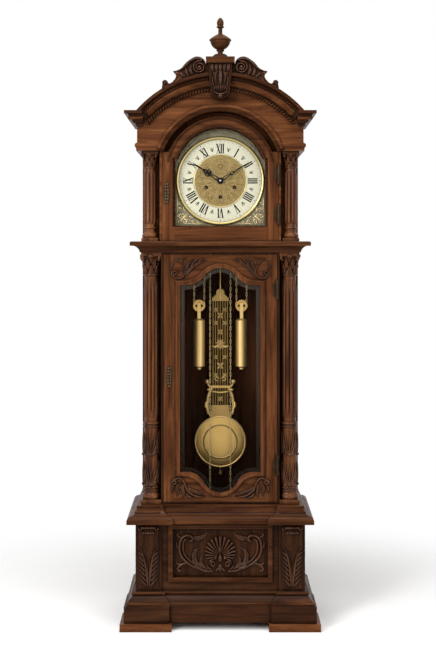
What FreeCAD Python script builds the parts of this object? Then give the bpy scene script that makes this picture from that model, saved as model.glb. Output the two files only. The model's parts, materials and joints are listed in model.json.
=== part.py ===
import FreeCAD, Part
import math
import os
import re
from types import SimpleNamespace
from FreeCAD import Placement, Rotation, Vector

# A weight-driven longcase clock. Millimetres, +Z up, the front faces -Y, the origin is on the floor
# under the middle of the case.

SIZES = {
    # heights of the case, from the floor up
    "foot_height": 27, "plinth_height": 60, "skirt_height": 48, "base_height": 245, "cap_height": 62,
    "trunk_height": 911, "waist_top_height": 40, "hood_height": 415, "cornice_height": 54,
    # widths and depths of the case
    "base_width": 610, "trunk_width": 571, "trunk_depth": 337, "board": 18, "back_thickness": 12,
    "foot_reach": 54, "foot_length": 185, "foot_depth": 150, "plinth_reach": 26, "block_reach": 40,
    "block_length": 162, "skirt_reach": 30, "cap_reach": 30.5, "cap_lip": 6, "waist_top_reach": 40,
    "frieze_reach": 15, "cornice_reach": 59, "cap_break": 14, "cap_corner": 66, "pilaster_width": 94,
    "skirt_break": 9, "pilaster_proud": 8, "console_width": 72, "console_proud": 18, "console_margin": 10,
    # base front
    "base_frame": 22, "panel_width": 342, "panel_height": 176, "panel_thick": 14, "panel_frame": 17,
    "panel_bottom": 48, "bead_thick": 8,
    # columns, with their axes set in from the sides of the trunk
    "recess_depth": 75, "waist_column_x": 34.5, "waist_shaft": 50, "waist_drum": 56, "waist_capital": 72,
    "waist_drum_height": 235, "waist_capital_height": 84, "waist_foot_height": 53, "hood_column_x": 29.5,
    "hood_shaft": 40, "hood_capital": 60, "hood_column_height": 327, "hood_capital_height": 60,
    "hood_foot_height": 45, "flutes": 12, "flute_radius": 3.6,
    # waist door
    "waist_door_width": 410, "door_gap": 1.5, "door_thick": 20, "rail": 8, "waist_glass_width": 300,
    "waist_glass_bottom": 113, "waist_glass_shoulder": 114, "glass_rise": 62, "glass_drop": 74,
    "glass_flat": 26, "glass_thick": 4, "glass_lap": 4, "glass_bead": 12, "bead_proud": 7,
    "pane_gap": 0.4, "waist_lock_x": 185, "waist_lock_height": 460, "hood_lock_x": 194,
    "hood_lock_height": 175, "lock_width": 20, "lock_height": 80, "lock_thick": 2.5, "key_radius": 2.5,
    # hood door, frieze and arch
    "hood_door_width": 420, "door_arch_radius": 200, "arch_centre": 251, "hood_sight_width": 346,
    "hood_sight_radius": 164, "hood_sight_shoulder": 303, "hood_sight_bottom": 52, "frieze_gap": 20,
    "frieze_thick": 39, "entablature_height": 30, "entablature_reach": 23, "arch_radius": 400,
    "arch_rise": 136, "arch_half_width": 281, "cornice_band": 62,
    # pediment and finial
    "scroll_width": 159, "scroll_thick": 36, "keystone_width": 83, "keystone_height": 129,
    "keystone_proud": 3, "abacus_width": 103, "abacus_proud": 12, "abacus_height": 22, "abacus_depth": 78,
    "scroll_lift": 32, "scroll_top": 70, "finial_height": 144, "urn_width": 80,
    # dial
    "dial_width": 335, "dial_front": 72, "dial_thick": 3, "mask_thick": 9, "mask_lap": 3,
    "dial_centre_height": 222, "anchor_rise": 55, "bezel_radius": 163, "chapter_radius": 152,
    "chapter_inner": 94, "ring_thick": 3, "eyelet_radius": 6, "eyelet_offset": 52, "eyelet_drop": 24,
    "low_eyelet_drop": 59,
    # hands and motion work
    "hand_thick": 1.6, "minute_hand_length": 128, "hour_hand_length": 126, "arbor_radius": 3,
    "wheel_thick": 4, "gear_pitch_gap": 24, "running_fit": 0.05, "pipe_wall": 2, "pipe_room": 0.6,
    "disc_thick": 2, "minute_hand_gap": 14, "hour_hand_gap": 8, "hour_wheel_gap": 8, "wheel_room": 2,
    "minute_angle": 57, "hour_angle": -57, "stud_radius": 2.5, "end_room": 2,
    # movement
    "seat_height": 25, "seat_thick": 22, "cheek_height": 124, "plate_width": 190, "plate_height": 262,
    "plate_thick": 4, "plate_gap": 68, "pillar_radius": 6, "sprocket_x": 49, "sprocket_radius": 11,
    "sprocket_height": 52, "flange_thick": 2, "great_wheel_radius": 38, "great_wheel_teeth": 48,
    "great_wheel_y": -22, "train_module": 1, "escape_teeth": 36, "escape_y": 28, "centre_gap": 14,
    "escape_drop": 27, "soft_gap": 0.3, "seat_depth": 51.25, "slot_room": 6, "chain_depth": 131.75,
    "hook_length": 20, "gong_x": 60, "gong_width": 90, "gong_depth": 30, "gong_height": 82,
    "gong_length": 170, "gong_rod": 2.5, "gong_rods": 4,
    # weights and chains
    "weight_x": 79, "weight_radius": 21, "weight_length": 190, "weight_top": 312, "pulley_rise": 48,
    "pulley_radius": 22, "pulley_thick": 9, "chain_wire": 5, "chain_end": 22, "groove_depth": 3,
    "yoke_room": 1, "yoke_thick": 3, "yoke_width": 12,
    # pendulum
    "pendulum_y": 66, "pendulum_length": 1032, "bob_radius": 98, "bob_thick": 26, "rod_radius": 5,
    "lattice_width": 64, "lattice_bottom": 138, "lattice_height": 393, "lattice_rods": 7,
    "head_height": 45, "foot_width": 72, "lyre_width": 110, "lyre_height": 108, "lyre_rise": 104,
    "lyre_thick": 5, "cock_width": 24, "cock_rise": 16, "cock_reach": 16, "cock_thick": 12,
    "crutch_gap": 9, "crutch_length": 110, "pallet_span": 44, "pallet_drop": 16, "pallet_tip": 4,
    "pallet_y": 26, "rod_tail": 30, "eye_width": 16, "eye_depth": 13, "nut_radius": 11,
    # hinges
    "pin_radius": 3, "knuckle_radius": 5.5, "knuckle_length": 42, "hinge_proud": 6, "leaf_width": 16,
    "leaf_thick": 2, "end_length": 14, "waist_hinge_low": 120, "waist_hinge_high": 156,
    "hood_hinge_low": 76, "hood_hinge_high": 222,
}


def make_sheet(doc):
    """Write the driving sizes into a sheet with one alias each and read them back."""
    sheet = doc.addObject("Spreadsheet::Sheet", "Sizes")
    for row, (alias, value) in enumerate(SIZES.items(), start=1):
        sheet.set("A%d" % row, alias)
        sheet.set("B%d" % row, str(value))
        sheet.setAlias("B%d" % row, alias)
    doc.recompute()
    return SimpleNamespace(**{alias: float(sheet.get(alias)) for alias in SIZES})


doc = FreeCAD.newDocument("longcase_clock")
s = make_sheet(doc)
NODES = []

# Levels and planes that several pieces share.
base_reach = (s.base_width - s.trunk_width) / 2
case_back = (s.trunk_depth + base_reach + s.foot_reach) / 2
trunk_half = s.trunk_width / 2
base_half = s.base_width / 2
trunk_front = case_back - s.trunk_depth
base_front = trunk_front - base_reach
back_inner = case_back - s.back_thickness
z_plinth = s.foot_height + s.plinth_height
z_skirt = z_plinth + s.skirt_height
z_base = z_skirt + s.base_height
z_cap = z_base + s.cap_height
z_trunk = z_cap + s.trunk_height
z_hood = z_trunk + s.waist_top_height
z_cornice = z_hood + s.hood_height
z_shoulder = z_cornice + s.cornice_height
recess_back = trunk_front + s.recess_depth
arch_z = z_hood + s.arch_centre
z_entablature = z_hood + s.hood_column_height
door_shoulder = z_entablature - 2 * s.door_gap
chain_y = trunk_front + s.chain_depth
dial_y = chain_y - s.dial_front
dial_z = z_hood + s.dial_centre_height
seat_z = z_hood + s.seat_height
plate_front = chain_y - s.plate_gap / 2
plate_back = chain_y + s.plate_gap / 2
sprocket_z = seat_z + s.seat_thick + s.sprocket_height
weight_z = seat_z - s.weight_top
pulley_z = weight_z + s.pulley_rise
pivot_z = dial_z + s.anchor_rise
bob_z = pivot_z - s.pendulum_length


def bound(formula):
    """Turn the size names in a formula into references to the sheet."""
    def cell(word):
        return "Sizes." + word.group() if word.group() in SIZES else word.group()

    return re.sub(r"[a-z][a-z_]+", cell, formula)


def bind(obj, prop, formula):
    obj.setExpression(prop, bound(formula))


def keep(obj, label):
    """Make an object one of the clock's sub-parts."""
    obj.Label = label
    NODES.append(obj)
    return obj


def at(x, y, z, rotation=Rotation()):
    return Placement(Vector(x, y, z), rotation)


def block(name, corner, length, width, height):
    """A board with its lowest corner at corner and its three sizes bound to the sheet."""
    obj = doc.addObject("Part::Box", name)
    for prop, formula in zip(("Length", "Width", "Height"), (length, width, height)):
        bind(obj, prop, formula)
    obj.Placement = at(*corner)
    return obj


FACE_ON = Rotation(Vector(1, 0, 0), 90)
TURN = {"Z": Rotation(), "Y": Rotation(Vector(1, 0, 0), -90), "X": Rotation(Vector(0, 1, 0), 90)}


def rod(name, foot, radius, height, axis="Z"):
    """A round bar from its foot along +X, +Y or +Z."""
    obj = doc.addObject("Part::Cylinder", name)
    bind(obj, "Radius", radius)
    bind(obj, "Height", height)
    obj.Placement = at(*foot, TURN[axis])
    return obj


def group(name, *pieces):
    obj = doc.addObject("Part::Compound", name)
    obj.Links = list(pieces)
    return obj


def fuse(name, *pieces):
    obj = doc.addObject("Part::MultiFuse", name)
    obj.Shapes = list(pieces)
    obj.Refine = True
    return obj


def cut(name, base, tool):
    obj = doc.addObject("Part::Cut", name)
    obj.Base = base
    obj.Tool = tool
    return obj


def mirror(name, source):
    """The same piece on the other side of the clock."""
    obj = doc.addObject("Part::Mirroring", name)
    obj.Source = source
    obj.Normal = Vector(1, 0, 0)
    return obj


def both_sides(name, piece):
    return group(name, piece, mirror(name + "_right", piece))


def closed(start, *steps):
    """A closed outline in a plane: each step is an end point, or a middle and an end point of an arc."""
    edges = []
    here = start
    for step in steps + (start,):
        flat = not isinstance(step[0], tuple)
        end = step if flat else step[1]
        a, b = Vector(*here, 0), Vector(*end, 0)
        if (b - a).Length > 1e-6:
            edges.append(Part.LineSegment(a, b) if flat else Part.Arc(a, Vector(*step[0], 0), b))
        here = end
    return edges


def symmetric(start, *steps):
    """A closed outline from its right half: points and arcs as in closed, from foot to tip."""
    def flip(point):
        return (-point[0], point[1])

    ends = [start] + [step[1] if isinstance(step[0], tuple) else step for step in steps]
    left = [(flip(step[0]), flip(end)) if isinstance(step[0], tuple) else flip(end)
            for step, end in zip(steps, ends)]
    return closed(start, *steps, *reversed(left))


def circle(radius, x=0, z=0):
    return [Part.Circle(Vector(x, z, 0), Vector(0, 0, 1), radius)]


def plane_of(body, role):
    return next(f for f in body.Origin.OriginFeatures if f.Role == role)


def sketch_on(body, name, role, outlines, offset=0.0):
    sketch = body.newObject("Sketcher::SketchObject", name)
    sketch.AttachmentSupport = (plane_of(body, role), [""])
    sketch.MapMode = "FlatFace"
    sketch.AttachmentOffset = at(0, 0, offset)
    for outline in outlines:
        sketch.addGeometry(outline, False)
    return sketch


def pad(name, role, outlines, thick, place, backwards):
    """A body padded from outlines on one of its planes; later outlines are openings."""
    body = doc.addObject("PartDesign::Body", name)
    feature = body.newObject("PartDesign::Pad", name + "_pad")
    feature.Profile = sketch_on(body, name + "_outline", role, outlines)
    feature.Reversed = backwards
    bind(feature, "Length", thick)
    body.Tip = feature
    body.Placement = place
    return body


def panel(name, outlines, front, thick):
    """A board that stands in the XZ plane, from y = front backwards."""
    return pad(name, "XZ_Plane", outlines, thick, at(0, front, 0), True)


def bracket(name, outline, x, thick):
    """A block with its outline of y and z in the YZ plane, from x towards +X."""
    return pad(name, "YZ_Plane", [outline], thick, at(x, 0, 0), False)


def turned(name, profile, place):
    """A turned piece: the profile holds radius and height, and closes on the axis."""
    body = doc.addObject("PartDesign::Body", name)
    sketch = sketch_on(body, name + "_profile", "XZ_Plane", [profile])
    lathe = body.newObject("PartDesign::Revolution", name + "_turning")
    lathe.Profile = sketch
    lathe.ReferenceAxis = (sketch, ["V_Axis"])
    lathe.Angle = 360
    body.Placement = place
    return body


def flute(body, name, count, ring_radius, flute_radius, bottom, height):
    """Cut a ring of upright flutes into a turned column."""
    sketch = sketch_on(body, name + "_flute", "XY_Plane", [circle(flute_radius, ring_radius)], bottom)
    pocket = body.newObject("PartDesign::Pocket", name + "_flute_cut")
    pocket.Profile = sketch
    pocket.Reversed = True
    pocket.Length = height
    pattern = body.newObject("PartDesign::PolarPattern", name + "_flutes")
    pattern.Originals = [pocket]
    pattern.Axis = (plane_of(body, "Z_Axis"), [""])
    pattern.Angle = 360
    pattern.Occurrences = int(count)
    body.Tip = pattern
    return body


def surround(name, profile, half, front, z, corner=0.0, step=0.0):
    """A moulding with mitred corners round the front and both sides; a step sets its corners forward."""
    inner, ahead = half - corner, front - step
    runs = [(-half, case_back), (-half, ahead), (half, ahead), (half, case_back)]
    if step:
        runs[2:2] = [(-inner, ahead), (-inner, front), (inner, front), (inner, ahead)]
    section = doc.addObject("Sketcher::SketchObject", name + "_section")
    section.addGeometry(profile, False)
    section.Placement = at(-half, case_back, z, FACE_ON)
    path = doc.addObject("Part::Polygon", name + "_path")
    path.Nodes = [Vector(x, y, z) for x, y in runs]
    sweep = doc.addObject("Part::Sweep", name)
    sweep.Sections = [section]
    sweep.Spine = (path, ["Edge%d" % i for i in range(1, len(runs))])
    sweep.Solid = True
    sweep.Frenet = False
    sweep.Transition = "Right corner"
    return sweep


def base():
    """Feet, plinth, skirt, carcass, panelled front, pilasters and cap moulding."""
    foot_left = -base_half - s.foot_reach
    feet = [block("foot_%d" % i, (foot_left, y, 0), "foot_length", "foot_depth", "foot_height")
            for i, y in enumerate((-case_back, case_back - s.foot_depth))]
    keep(both_sides("feet_pair", group("feet_left", *feet)), "feet")

    frame = block("plinth_frame", (-base_half - s.plinth_reach, base_front - s.plinth_reach, s.foot_height),
                  "base_width + 2 * plinth_reach",
                  "trunk_depth + (base_width - trunk_width) / 2 + plinth_reach",
                  "plinth_height")
    corner = block("plinth_corner", (-base_half - s.block_reach, base_front - s.block_reach, s.foot_height),
                   "block_length", "block_length", "plinth_height")
    hollow = block("plinth_hollow", (-base_half, base_front, s.foot_height), "base_width", "2 * trunk_depth",
                   "plinth_height")
    solid = fuse("plinth_solid", frame, corner, mirror("plinth_corner_right", corner))
    keep(cut("plinth_cut", solid, hollow), "plinth")

    reach, top = s.skirt_reach, s.skirt_height
    lip = 0.2 * top
    skirt = closed((0, 0), (-reach, 0), (-reach, lip),
                   ((-0.62 * reach, 0.52 * top), (-0.3 * reach, 0.72 * top)),
                   ((-0.42 * reach, 0.82 * top), (-0.3 * reach, 0.92 * top)), (-0.2 * reach, top), (0, top))
    run = surround("skirt", skirt, base_half, base_front, z_plinth, s.pilaster_width, s.skirt_break)
    backing = block("skirt_backing", (-base_half, base_front - s.skirt_break, z_plinth), "pilaster_width",
                    "skirt_break", "skirt_height")
    keep(fuse("skirt_run", run, backing, mirror("skirt_backing_right", backing)), "skirt_moulding")

    deep = "trunk_depth + (base_width - trunk_width) / 2 - base_frame - back_thickness"
    side = block("base_side", (-base_half, base_front + s.base_frame, s.foot_height), "board", deep,
                 "plinth_height + skirt_height + base_height")
    floor = block("base_floor", (-base_half + s.board, base_front + s.base_frame, s.foot_height),
                  "base_width - 2 * board", deep, "board")
    keep(group("base_boards", side, mirror("base_side_right", side), floor), "base_carcass")

    low, half = z_skirt + s.panel_bottom, s.panel_width / 2
    high = low + s.panel_height

    field = rectangle(half, low, high)
    rim = rectangle(half + s.panel_frame, low - s.panel_frame, high + s.panel_frame)
    board = panel("base_front_board", [rectangle(base_half, s.foot_height, z_base), field], base_front,
                  "base_frame")
    bead = panel("base_front_bead", [rim, field], base_front - s.bead_thick, "bead_thick")
    keep(fuse("base_front", board, bead), "base_front_frame")
    keep(panel("panel_board", [field], base_front + s.bead_thick, "panel_thick"), "base_panel")

    face, proud = base_front - s.pilaster_proud, s.console_proud
    pilaster = block("pilaster", (-base_half, face, z_skirt), "pilaster_width", "pilaster_proud",
                     "base_height")
    foot, head = z_skirt + s.console_margin, z_base - s.console_margin
    tall = head - foot
    outline = closed((face, foot), (face - 0.3 * proud, foot),
                     ((face - 0.3 * proud, foot + 0.3 * tall), (face - 0.6 * proud, foot + 0.6 * tall)),
                     ((face - proud, foot + 0.84 * tall), (face - 0.5 * proud, head)), (face, head))
    console = bracket("console", outline, -base_half + (s.pilaster_width - s.console_width) / 2,
                      "console_width")
    keep(both_sides("pilasters", fuse("pilaster_left", pilaster, console)), "base_pilasters")

    step = max(base_reach, 0)
    reach, top, lip = step + s.cap_reach, s.cap_height, step + s.cap_lip
    cap = closed((0, 0), (-reach, 0), (-reach, 0.16 * top),
                 ((-0.86 * reach, 0.4 * top), (-0.62 * reach, 0.46 * top)),
                 (-lip, 0.52 * top), ((-0.4 * reach, 0.62 * top), (-0.3 * reach, 0.83 * top)),
                 (-0.26 * reach, top), (0, top))
    run = surround("cap_run", cap, trunk_half, trunk_front, z_base, s.cap_corner, s.cap_break)
    backing = block("cap_backing", (-trunk_half, trunk_front - s.cap_break, z_base), "cap_corner",
                    "cap_break",
                    "cap_height")
    keep(fuse("cap", run, backing, mirror("cap_backing_right", backing)), "base_cap_moulding")


def column(name, corner, height, radii, drum_top, flute_bottom):
    """A fluted column: square plinth, foot rings, drum or straight shaft, bell capital, square abacus."""
    shaft, drum, capital = radii
    foot, bell = getattr(s, name + "_foot_height"), getattr(s, name + "_capital_height")
    side, x, y, z = name + "_capital", *corner
    plinth = block(name + "_plinth", corner, side, side, "0.28 * %s_foot_height" % name)
    slab = block(name + "_abacus", (x, y, z + height - 0.16 * bell), side, side,
                 "0.16 * %s_capital_height" % name)
    neck, ring, low = height - bell, 0.12 * capital, 0.28 * foot
    profile = closed((0, low), (0.9 * capital, low),
                     ((0.97 * capital, 0.45 * foot), (0.86 * capital, 0.62 * foot)), (drum, 0.75 * foot),
                     (drum, drum_top), ((drum + ring, drum_top + 0.7 * ring), (drum, drum_top + 1.4 * ring)),
                     (shaft, drum_top + 1.4 * ring), (shaft, neck),
                     ((shaft + ring, neck + 0.7 * ring), (shaft, neck + 1.4 * ring)),
                     ((0.72 * capital, neck + 0.6 * bell), (0.94 * capital, neck + 0.84 * bell)),
                     (0, neck + 0.84 * bell))
    body = turned(name + "_post", profile, at(x + capital, y + capital, z))
    doc.recompute()
    run = neck - flute_bottom - 4 * s.flute_radius
    flute(body, name, s.flutes, shaft + 0.35 * s.flute_radius, s.flute_radius, flute_bottom, run)
    return both_sides(name + "_columns_pair", fuse(name + "_column", plinth, body, slab))


def trunk():
    """Backboard, sides with the seat cheeks, front frame with recessed corners, columns and top moulding."""
    crown = z_shoulder + s.arch_rise - s.cornice_band
    wide = s.arch_half_width - s.cornice_band / 2
    back = closed((-base_half, s.foot_height), (base_half, s.foot_height), (base_half, z_base),
                  (trunk_half, z_base),
                  (trunk_half, z_cornice), (wide, z_cornice), ((0, crown), (-wide, z_cornice)),
                  (-trunk_half, z_cornice), (-trunk_half, z_base), (-base_half, z_base))
    keep(panel("back", [back], back_inner, "back_thickness"), "backboard")

    tall = "cap_height + trunk_height + waist_top_height"
    deep = "trunk_depth - recess_depth - board - back_thickness"
    wall = block("trunk_wall", (-trunk_half, recess_back + s.board, z_base), "board", deep, tall)
    cheek = block("seat_cheek", (-trunk_half + s.board, recess_back + s.board, seat_z - s.cheek_height),
                  "board", deep,
                  "cheek_height")
    keep(both_sides("trunk_walls", fuse("trunk_wall_left", wall, cheek)), "trunk_sides")

    inner = s.waist_door_width / 2 + s.door_gap
    stile = block("stile", (-inner - s.rail, trunk_front, z_base), "rail", "recess_depth + board", tall)
    niche_width = "trunk_width / 2 - waist_door_width / 2 - door_gap - rail"
    niche = block("niche_back", (-trunk_half, recess_back, z_base), niche_width, "board", tall)
    corner = [block("corner_%d" % i, (-trunk_half, trunk_front, z), niche_width, "recess_depth", height)
              for i, (z, height) in enumerate(((z_base, "cap_height"), (z_trunk, "waist_top_height")))]
    left = fuse("front_left", stile, niche, *corner)
    span = "waist_door_width + 2 * door_gap"
    low = block("low_rail", (-inner, trunk_front, z_base), span, "door_thick", "cap_height + rail - door_gap")
    high = block("high_rail", (-inner, trunk_front, z_trunk - s.rail + s.door_gap), span, "door_thick",
                 "rail - door_gap + waist_top_height")
    keep(fuse("trunk_front", left, mirror("front_right", left), low, high), "trunk_front_frame")

    drum_top = s.waist_foot_height + s.waist_drum_height
    corner = (-trunk_half + s.waist_column_x - s.waist_capital / 2, trunk_front, z_cap)
    radii = (s.waist_shaft / 2, s.waist_drum / 2, s.waist_capital / 2)
    columns = column("waist", corner, s.trunk_height, radii, drum_top, drum_top + 0.3 * s.waist_capital)
    keep(columns, "waist_columns")

    reach, top = s.waist_top_reach, s.waist_top_height
    profile = closed((0, 0), (-0.15 * reach, 0), ((-0.4 * reach, 0.46 * top), (-reach, 0.6 * top)),
                     (-reach, 0.82 * top), ((-0.96 * reach, 0.95 * top), (-0.85 * reach, top)), (0, top))
    keep(surround("waist_top", profile, trunk_half, trunk_front, z_trunk), "trunk_top_moulding")


def break_arch(half, low, shoulder, radius):
    """An upright opening with square shoulders under a round arch about the hood's arch centre."""
    spring = math.sqrt(radius ** 2 - (shoulder - arch_z) ** 2)
    return closed((-half, low), (half, low), (half, shoulder), (spring, shoulder),
                  ((0, arch_z + radius), (-spring, shoulder)), (-half, shoulder))


def arch_band(outer, inner):
    """The half of a moulding's section above the arch, as a ring sector about the arch's own centre."""
    centre = z_shoulder + s.arch_rise - s.arch_radius
    angle = math.asin(s.arch_half_width / s.arch_radius)

    def point(radius, turn):
        return (radius * math.sin(turn), centre + radius * math.cos(turn))

    return closed(point(outer, -angle), (point(outer, 0), point(outer, angle)), point(inner, angle),
                  (point(inner, 0), point(inner, -angle)))


def hood():
    """Sides and roof, arched frieze, columns, cornice and dial mask."""
    wall = block("hood_wall", (-trunk_half, recess_back + s.board, z_hood), "board",
                 "trunk_depth - recess_depth - board - back_thickness", "hood_height")
    crown = z_shoulder + s.arch_rise
    frieze_front = trunk_front - s.frieze_reach
    frieze_back = frieze_front + s.frieze_thick
    roof_out = s.arch_radius - s.cornice_band
    roof = panel("roof", [arch_band(roof_out, roof_out - s.panel_thick)], frieze_back,
                 "trunk_depth + frieze_reach - frieze_thick - back_thickness")
    top = block("hood_top", (-trunk_half, dial_y, z_cornice), "trunk_width",
                "trunk_depth - back_thickness - chain_depth + dial_front", "panel_thick")
    shelf = block("hood_shelf", (-trunk_half, frieze_back, z_cornice), "trunk_width / 2 - hood_sight_radius",
                  "chain_depth - dial_front + frieze_reach - frieze_thick", "panel_thick")
    ceiling = fuse("hood_ceiling", top, shelf, mirror("hood_shelf_right", shelf))
    keep(group("hood_boards", wall, mirror("hood_wall_right", wall), ceiling, roof), "hood_carcass")

    inner = s.hood_door_width / 2 + s.door_gap
    stile = block("hood_stile", (-inner - s.rail, trunk_front, z_hood), "rail", "recess_depth + board",
                  "hood_height")
    niche = block("hood_niche", (-trunk_half, recess_back, z_hood),
                  "trunk_width / 2 - hood_door_width / 2 - door_gap - rail", "board", "hood_height")
    low = z_entablature
    half = trunk_half + s.frieze_reach
    cutter = s.door_arch_radius + s.frieze_gap
    spring = math.sqrt(cutter ** 2 - (low - arch_z) ** 2)
    under = s.arch_radius - s.cornice_band / 3
    centre = crown - s.arch_radius
    end = centre + math.sqrt(under ** 2 - half ** 2)
    outline = closed((-half, low), (-spring, low), ((0, arch_z + cutter), (spring, low)), (half, low),
                     (half, end), ((0, centre + under), (-half, end)))
    frieze = panel("frieze", [outline], frieze_front, "frieze_thick")
    flank = block("frieze_flank", (-half, frieze_back, low), "frieze_reach",
                  "trunk_depth + frieze_reach - frieze_thick", "hood_height - hood_column_height")
    stiles = fuse("hood_left", stile, niche)
    trim = block("stile_trim", (-inner - s.rail, frieze_front, low), "2 * rail", "frieze_thick",
                 "hood_height")
    left = fuse("hood_side_left", cut("hood_left_cut", stiles, trim), flank)
    reach, tall = s.entablature_reach - s.frieze_reach, s.entablature_height
    steps = closed((0, 0), (-0.4 * reach, 0), (-0.4 * reach, 0.3 * tall), (-reach, 0.5 * tall),
                   (-reach, 0.8 * tall), (0, tall))
    ledge = surround("entablature_run", steps, half, frieze_front, low)
    middle = block("entablature_gap", (-inner - s.rail, frieze_front - 2 * s.entablature_reach, low),
                   "hood_door_width + 2 * door_gap + 2 * rail", "2 * entablature_reach", "entablature_height")
    ledges = cut("entablature", ledge, middle)
    keep(fuse("hood_front", frieze, left, mirror("hood_right", left), ledges), "hood_front_frame")

    corner = (-trunk_half + s.hood_column_x - s.hood_capital / 2, trunk_front, z_hood)
    radii = (s.hood_shaft / 2, s.hood_shaft / 2, s.hood_capital / 2)
    flute_bottom = s.hood_foot_height + 0.3 * s.hood_capital
    columns = column("hood", corner, s.hood_column_height, radii, 1.02 * s.hood_foot_height, flute_bottom)
    keep(columns, "hood_columns")

    reach, tall = s.cornice_reach - s.frieze_reach, s.cornice_height
    section = closed((0, 0), (-0.12 * reach, 0), (-0.12 * reach, 0.16 * tall),
                     ((-0.3 * reach, 0.24 * tall), (-0.4 * reach, 0.42 * tall)), (-0.62 * reach, 0.42 * tall),
                     (-0.62 * reach, 0.58 * tall), ((-0.7 * reach, 0.74 * tall), (-reach, 0.8 * tall)),
                     (-reach, tall), (0, tall))
    straight = surround("cornice_run", section, half, frieze_front, z_cornice)
    span = block("cornice_span", (-s.arch_half_width, frieze_front - 2 * s.cornice_reach, z_cornice),
                 "2 * arch_half_width", "2 * cornice_reach", "2 * cornice_height")
    runs = cut("cornice_runs", straight, span)
    sweep_angle = math.degrees(math.asin(half / s.arch_radius))
    sweep = turned_arch("cornice_arch", section, frieze_front, centre, sweep_angle)
    above = block("cornice_above", (-half, frieze_front - 2 * s.cornice_reach, z_cornice),
                  "trunk_width + 2 * frieze_reach", "3 * cornice_reach", "10 * cornice_height")
    arch = doc.addObject("Part::Common", "cornice_bow")
    arch.Base = sweep
    arch.Tool = above
    fuse("cornice", runs, arch)

    mask_low = dial_z - s.dial_width / 2 + s.mask_lap
    sight = break_arch(s.dial_width / 2 - s.mask_lap, mask_low, z_hood + s.hood_sight_shoulder,
                       s.hood_sight_radius - s.mask_lap)
    outer = s.door_arch_radius + s.frieze_gap
    edge = break_arch(inner, z_hood, door_shoulder, outer)
    keep(panel("mask", [edge, sight], dial_y - s.mask_thick, "mask_thick"), "dial_mask")


def turned_arch(name, section, front, centre, degrees):
    """The cornice section turned about the arch's own centre, from one shoulder to the other."""
    base_radius = s.arch_radius - s.cornice_height
    face = Part.Face(Part.Wire([edge.toShape() for edge in section]))
    frame = FreeCAD.Matrix(0, 0, 1, 0, 1, 0, 0, front, 0, 1, 0, centre + base_radius, 0, 0, 0, 1)
    upright = face.transformGeometry(frame)
    upright.rotate(Vector(0, 0, centre), Vector(0, 1, 0), -degrees)
    solid = upright.revolve(Vector(0, 0, centre), Vector(0, 1, 0), 2 * degrees)
    arch = doc.addObject("Part::Feature", name)
    arch.Shape = solid
    return arch


def pediment():
    """Scrolls on the arch, the keystone in its crown, and the turned finial on its block."""
    crown = z_shoulder + s.arch_rise
    centre = crown - s.arch_radius
    front = trunk_front - s.cornice_reach
    block_low = crown + s.scroll_lift

    def on_arch(x):
        return centre + math.sqrt(s.arch_radius ** 2 - x ** 2)

    def over(run, lift):
        """A point part of the way out along the arch, lifted off it by a share of the scroll's height."""
        x = -s.abacus_width / 2 - s.soft_gap - run * s.scroll_width
        return (x, on_arch(x) + lift * s.scroll_top)

    side = -s.keystone_width / 2 - s.soft_gap
    ledge = block_low - s.soft_gap
    foot = (side, on_arch(side))
    profile = closed(foot, (side, ledge), (-s.abacus_width / 2 - s.soft_gap, ledge),
                     (over(0.1, 0.86), over(0.26, 0.96)),
                     (over(0.42, 0.83), over(0.53, 0.63)), (over(0.64, 0.57), over(0.74, 0.62)),
                     over(0.68, 0.41), (over(0.68, 0.26), over(0.73, 0.13)),
                     (over(0.8, 0.07), over(0.86, 0.12)),
                     (over(0.92, 0.38), over(0.98, 0.25)), over(1, 0), (over(0.5, 0), foot))
    scroll = panel("scroll", [profile], front + s.scroll_thick / 2, "scroll_thick")
    keep(both_sides("scrolls", scroll), "pediment_scrolls")

    half = s.keystone_width / 2
    low = block_low - s.keystone_height
    stone = closed((-half, block_low), (-half, block_low - half), (-0.8 * half, low + 1.1 * half),
                   ((0, low), (0.8 * half, low + 1.1 * half)), (half, block_low - half), (half, block_low))
    key = keep(panel("stone", [stone], front - s.keystone_proud,
                     "cornice_reach - frieze_reach + keystone_proud"),
               "keystone")
    keep(cut("cornice_cut", doc.getObject("cornice"), key), "hood_cornice")

    urn, tall = s.urn_width / 2, s.finial_height

    def up(across, share):
        return (across * urn, share * tall)

    slab = block("abacus", (-s.abacus_width / 2, front - s.abacus_proud, block_low), "abacus_width",
                 "abacus_depth", "abacus_height")
    profile = closed((0, 0), up(0.7, 0), (up(0.62, 0.06), up(0.24, 0.094)), up(0.24, 0.163),
                     (up(0.36, 0.18), up(0.24, 0.204)), (up(0.66, 0.27), up(0.9, 0.41)), up(1, 0.432),
                     up(0.96, 0.464), (up(0.62, 0.532), up(0.2, 0.595)), up(0.175, 0.734), up(0.34, 0.758),
                     up(0.34, 0.782), up(0.25, 0.796), (up(0.31, 0.87), up(0.06, 1)), (0, tall))
    seat = front - s.abacus_proud + s.abacus_depth / 2
    turning = turned("finial_turning", profile, at(0, seat, block_low + s.abacus_height))
    keep(group("finial_pieces", slab, turning), "finial")


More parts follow.
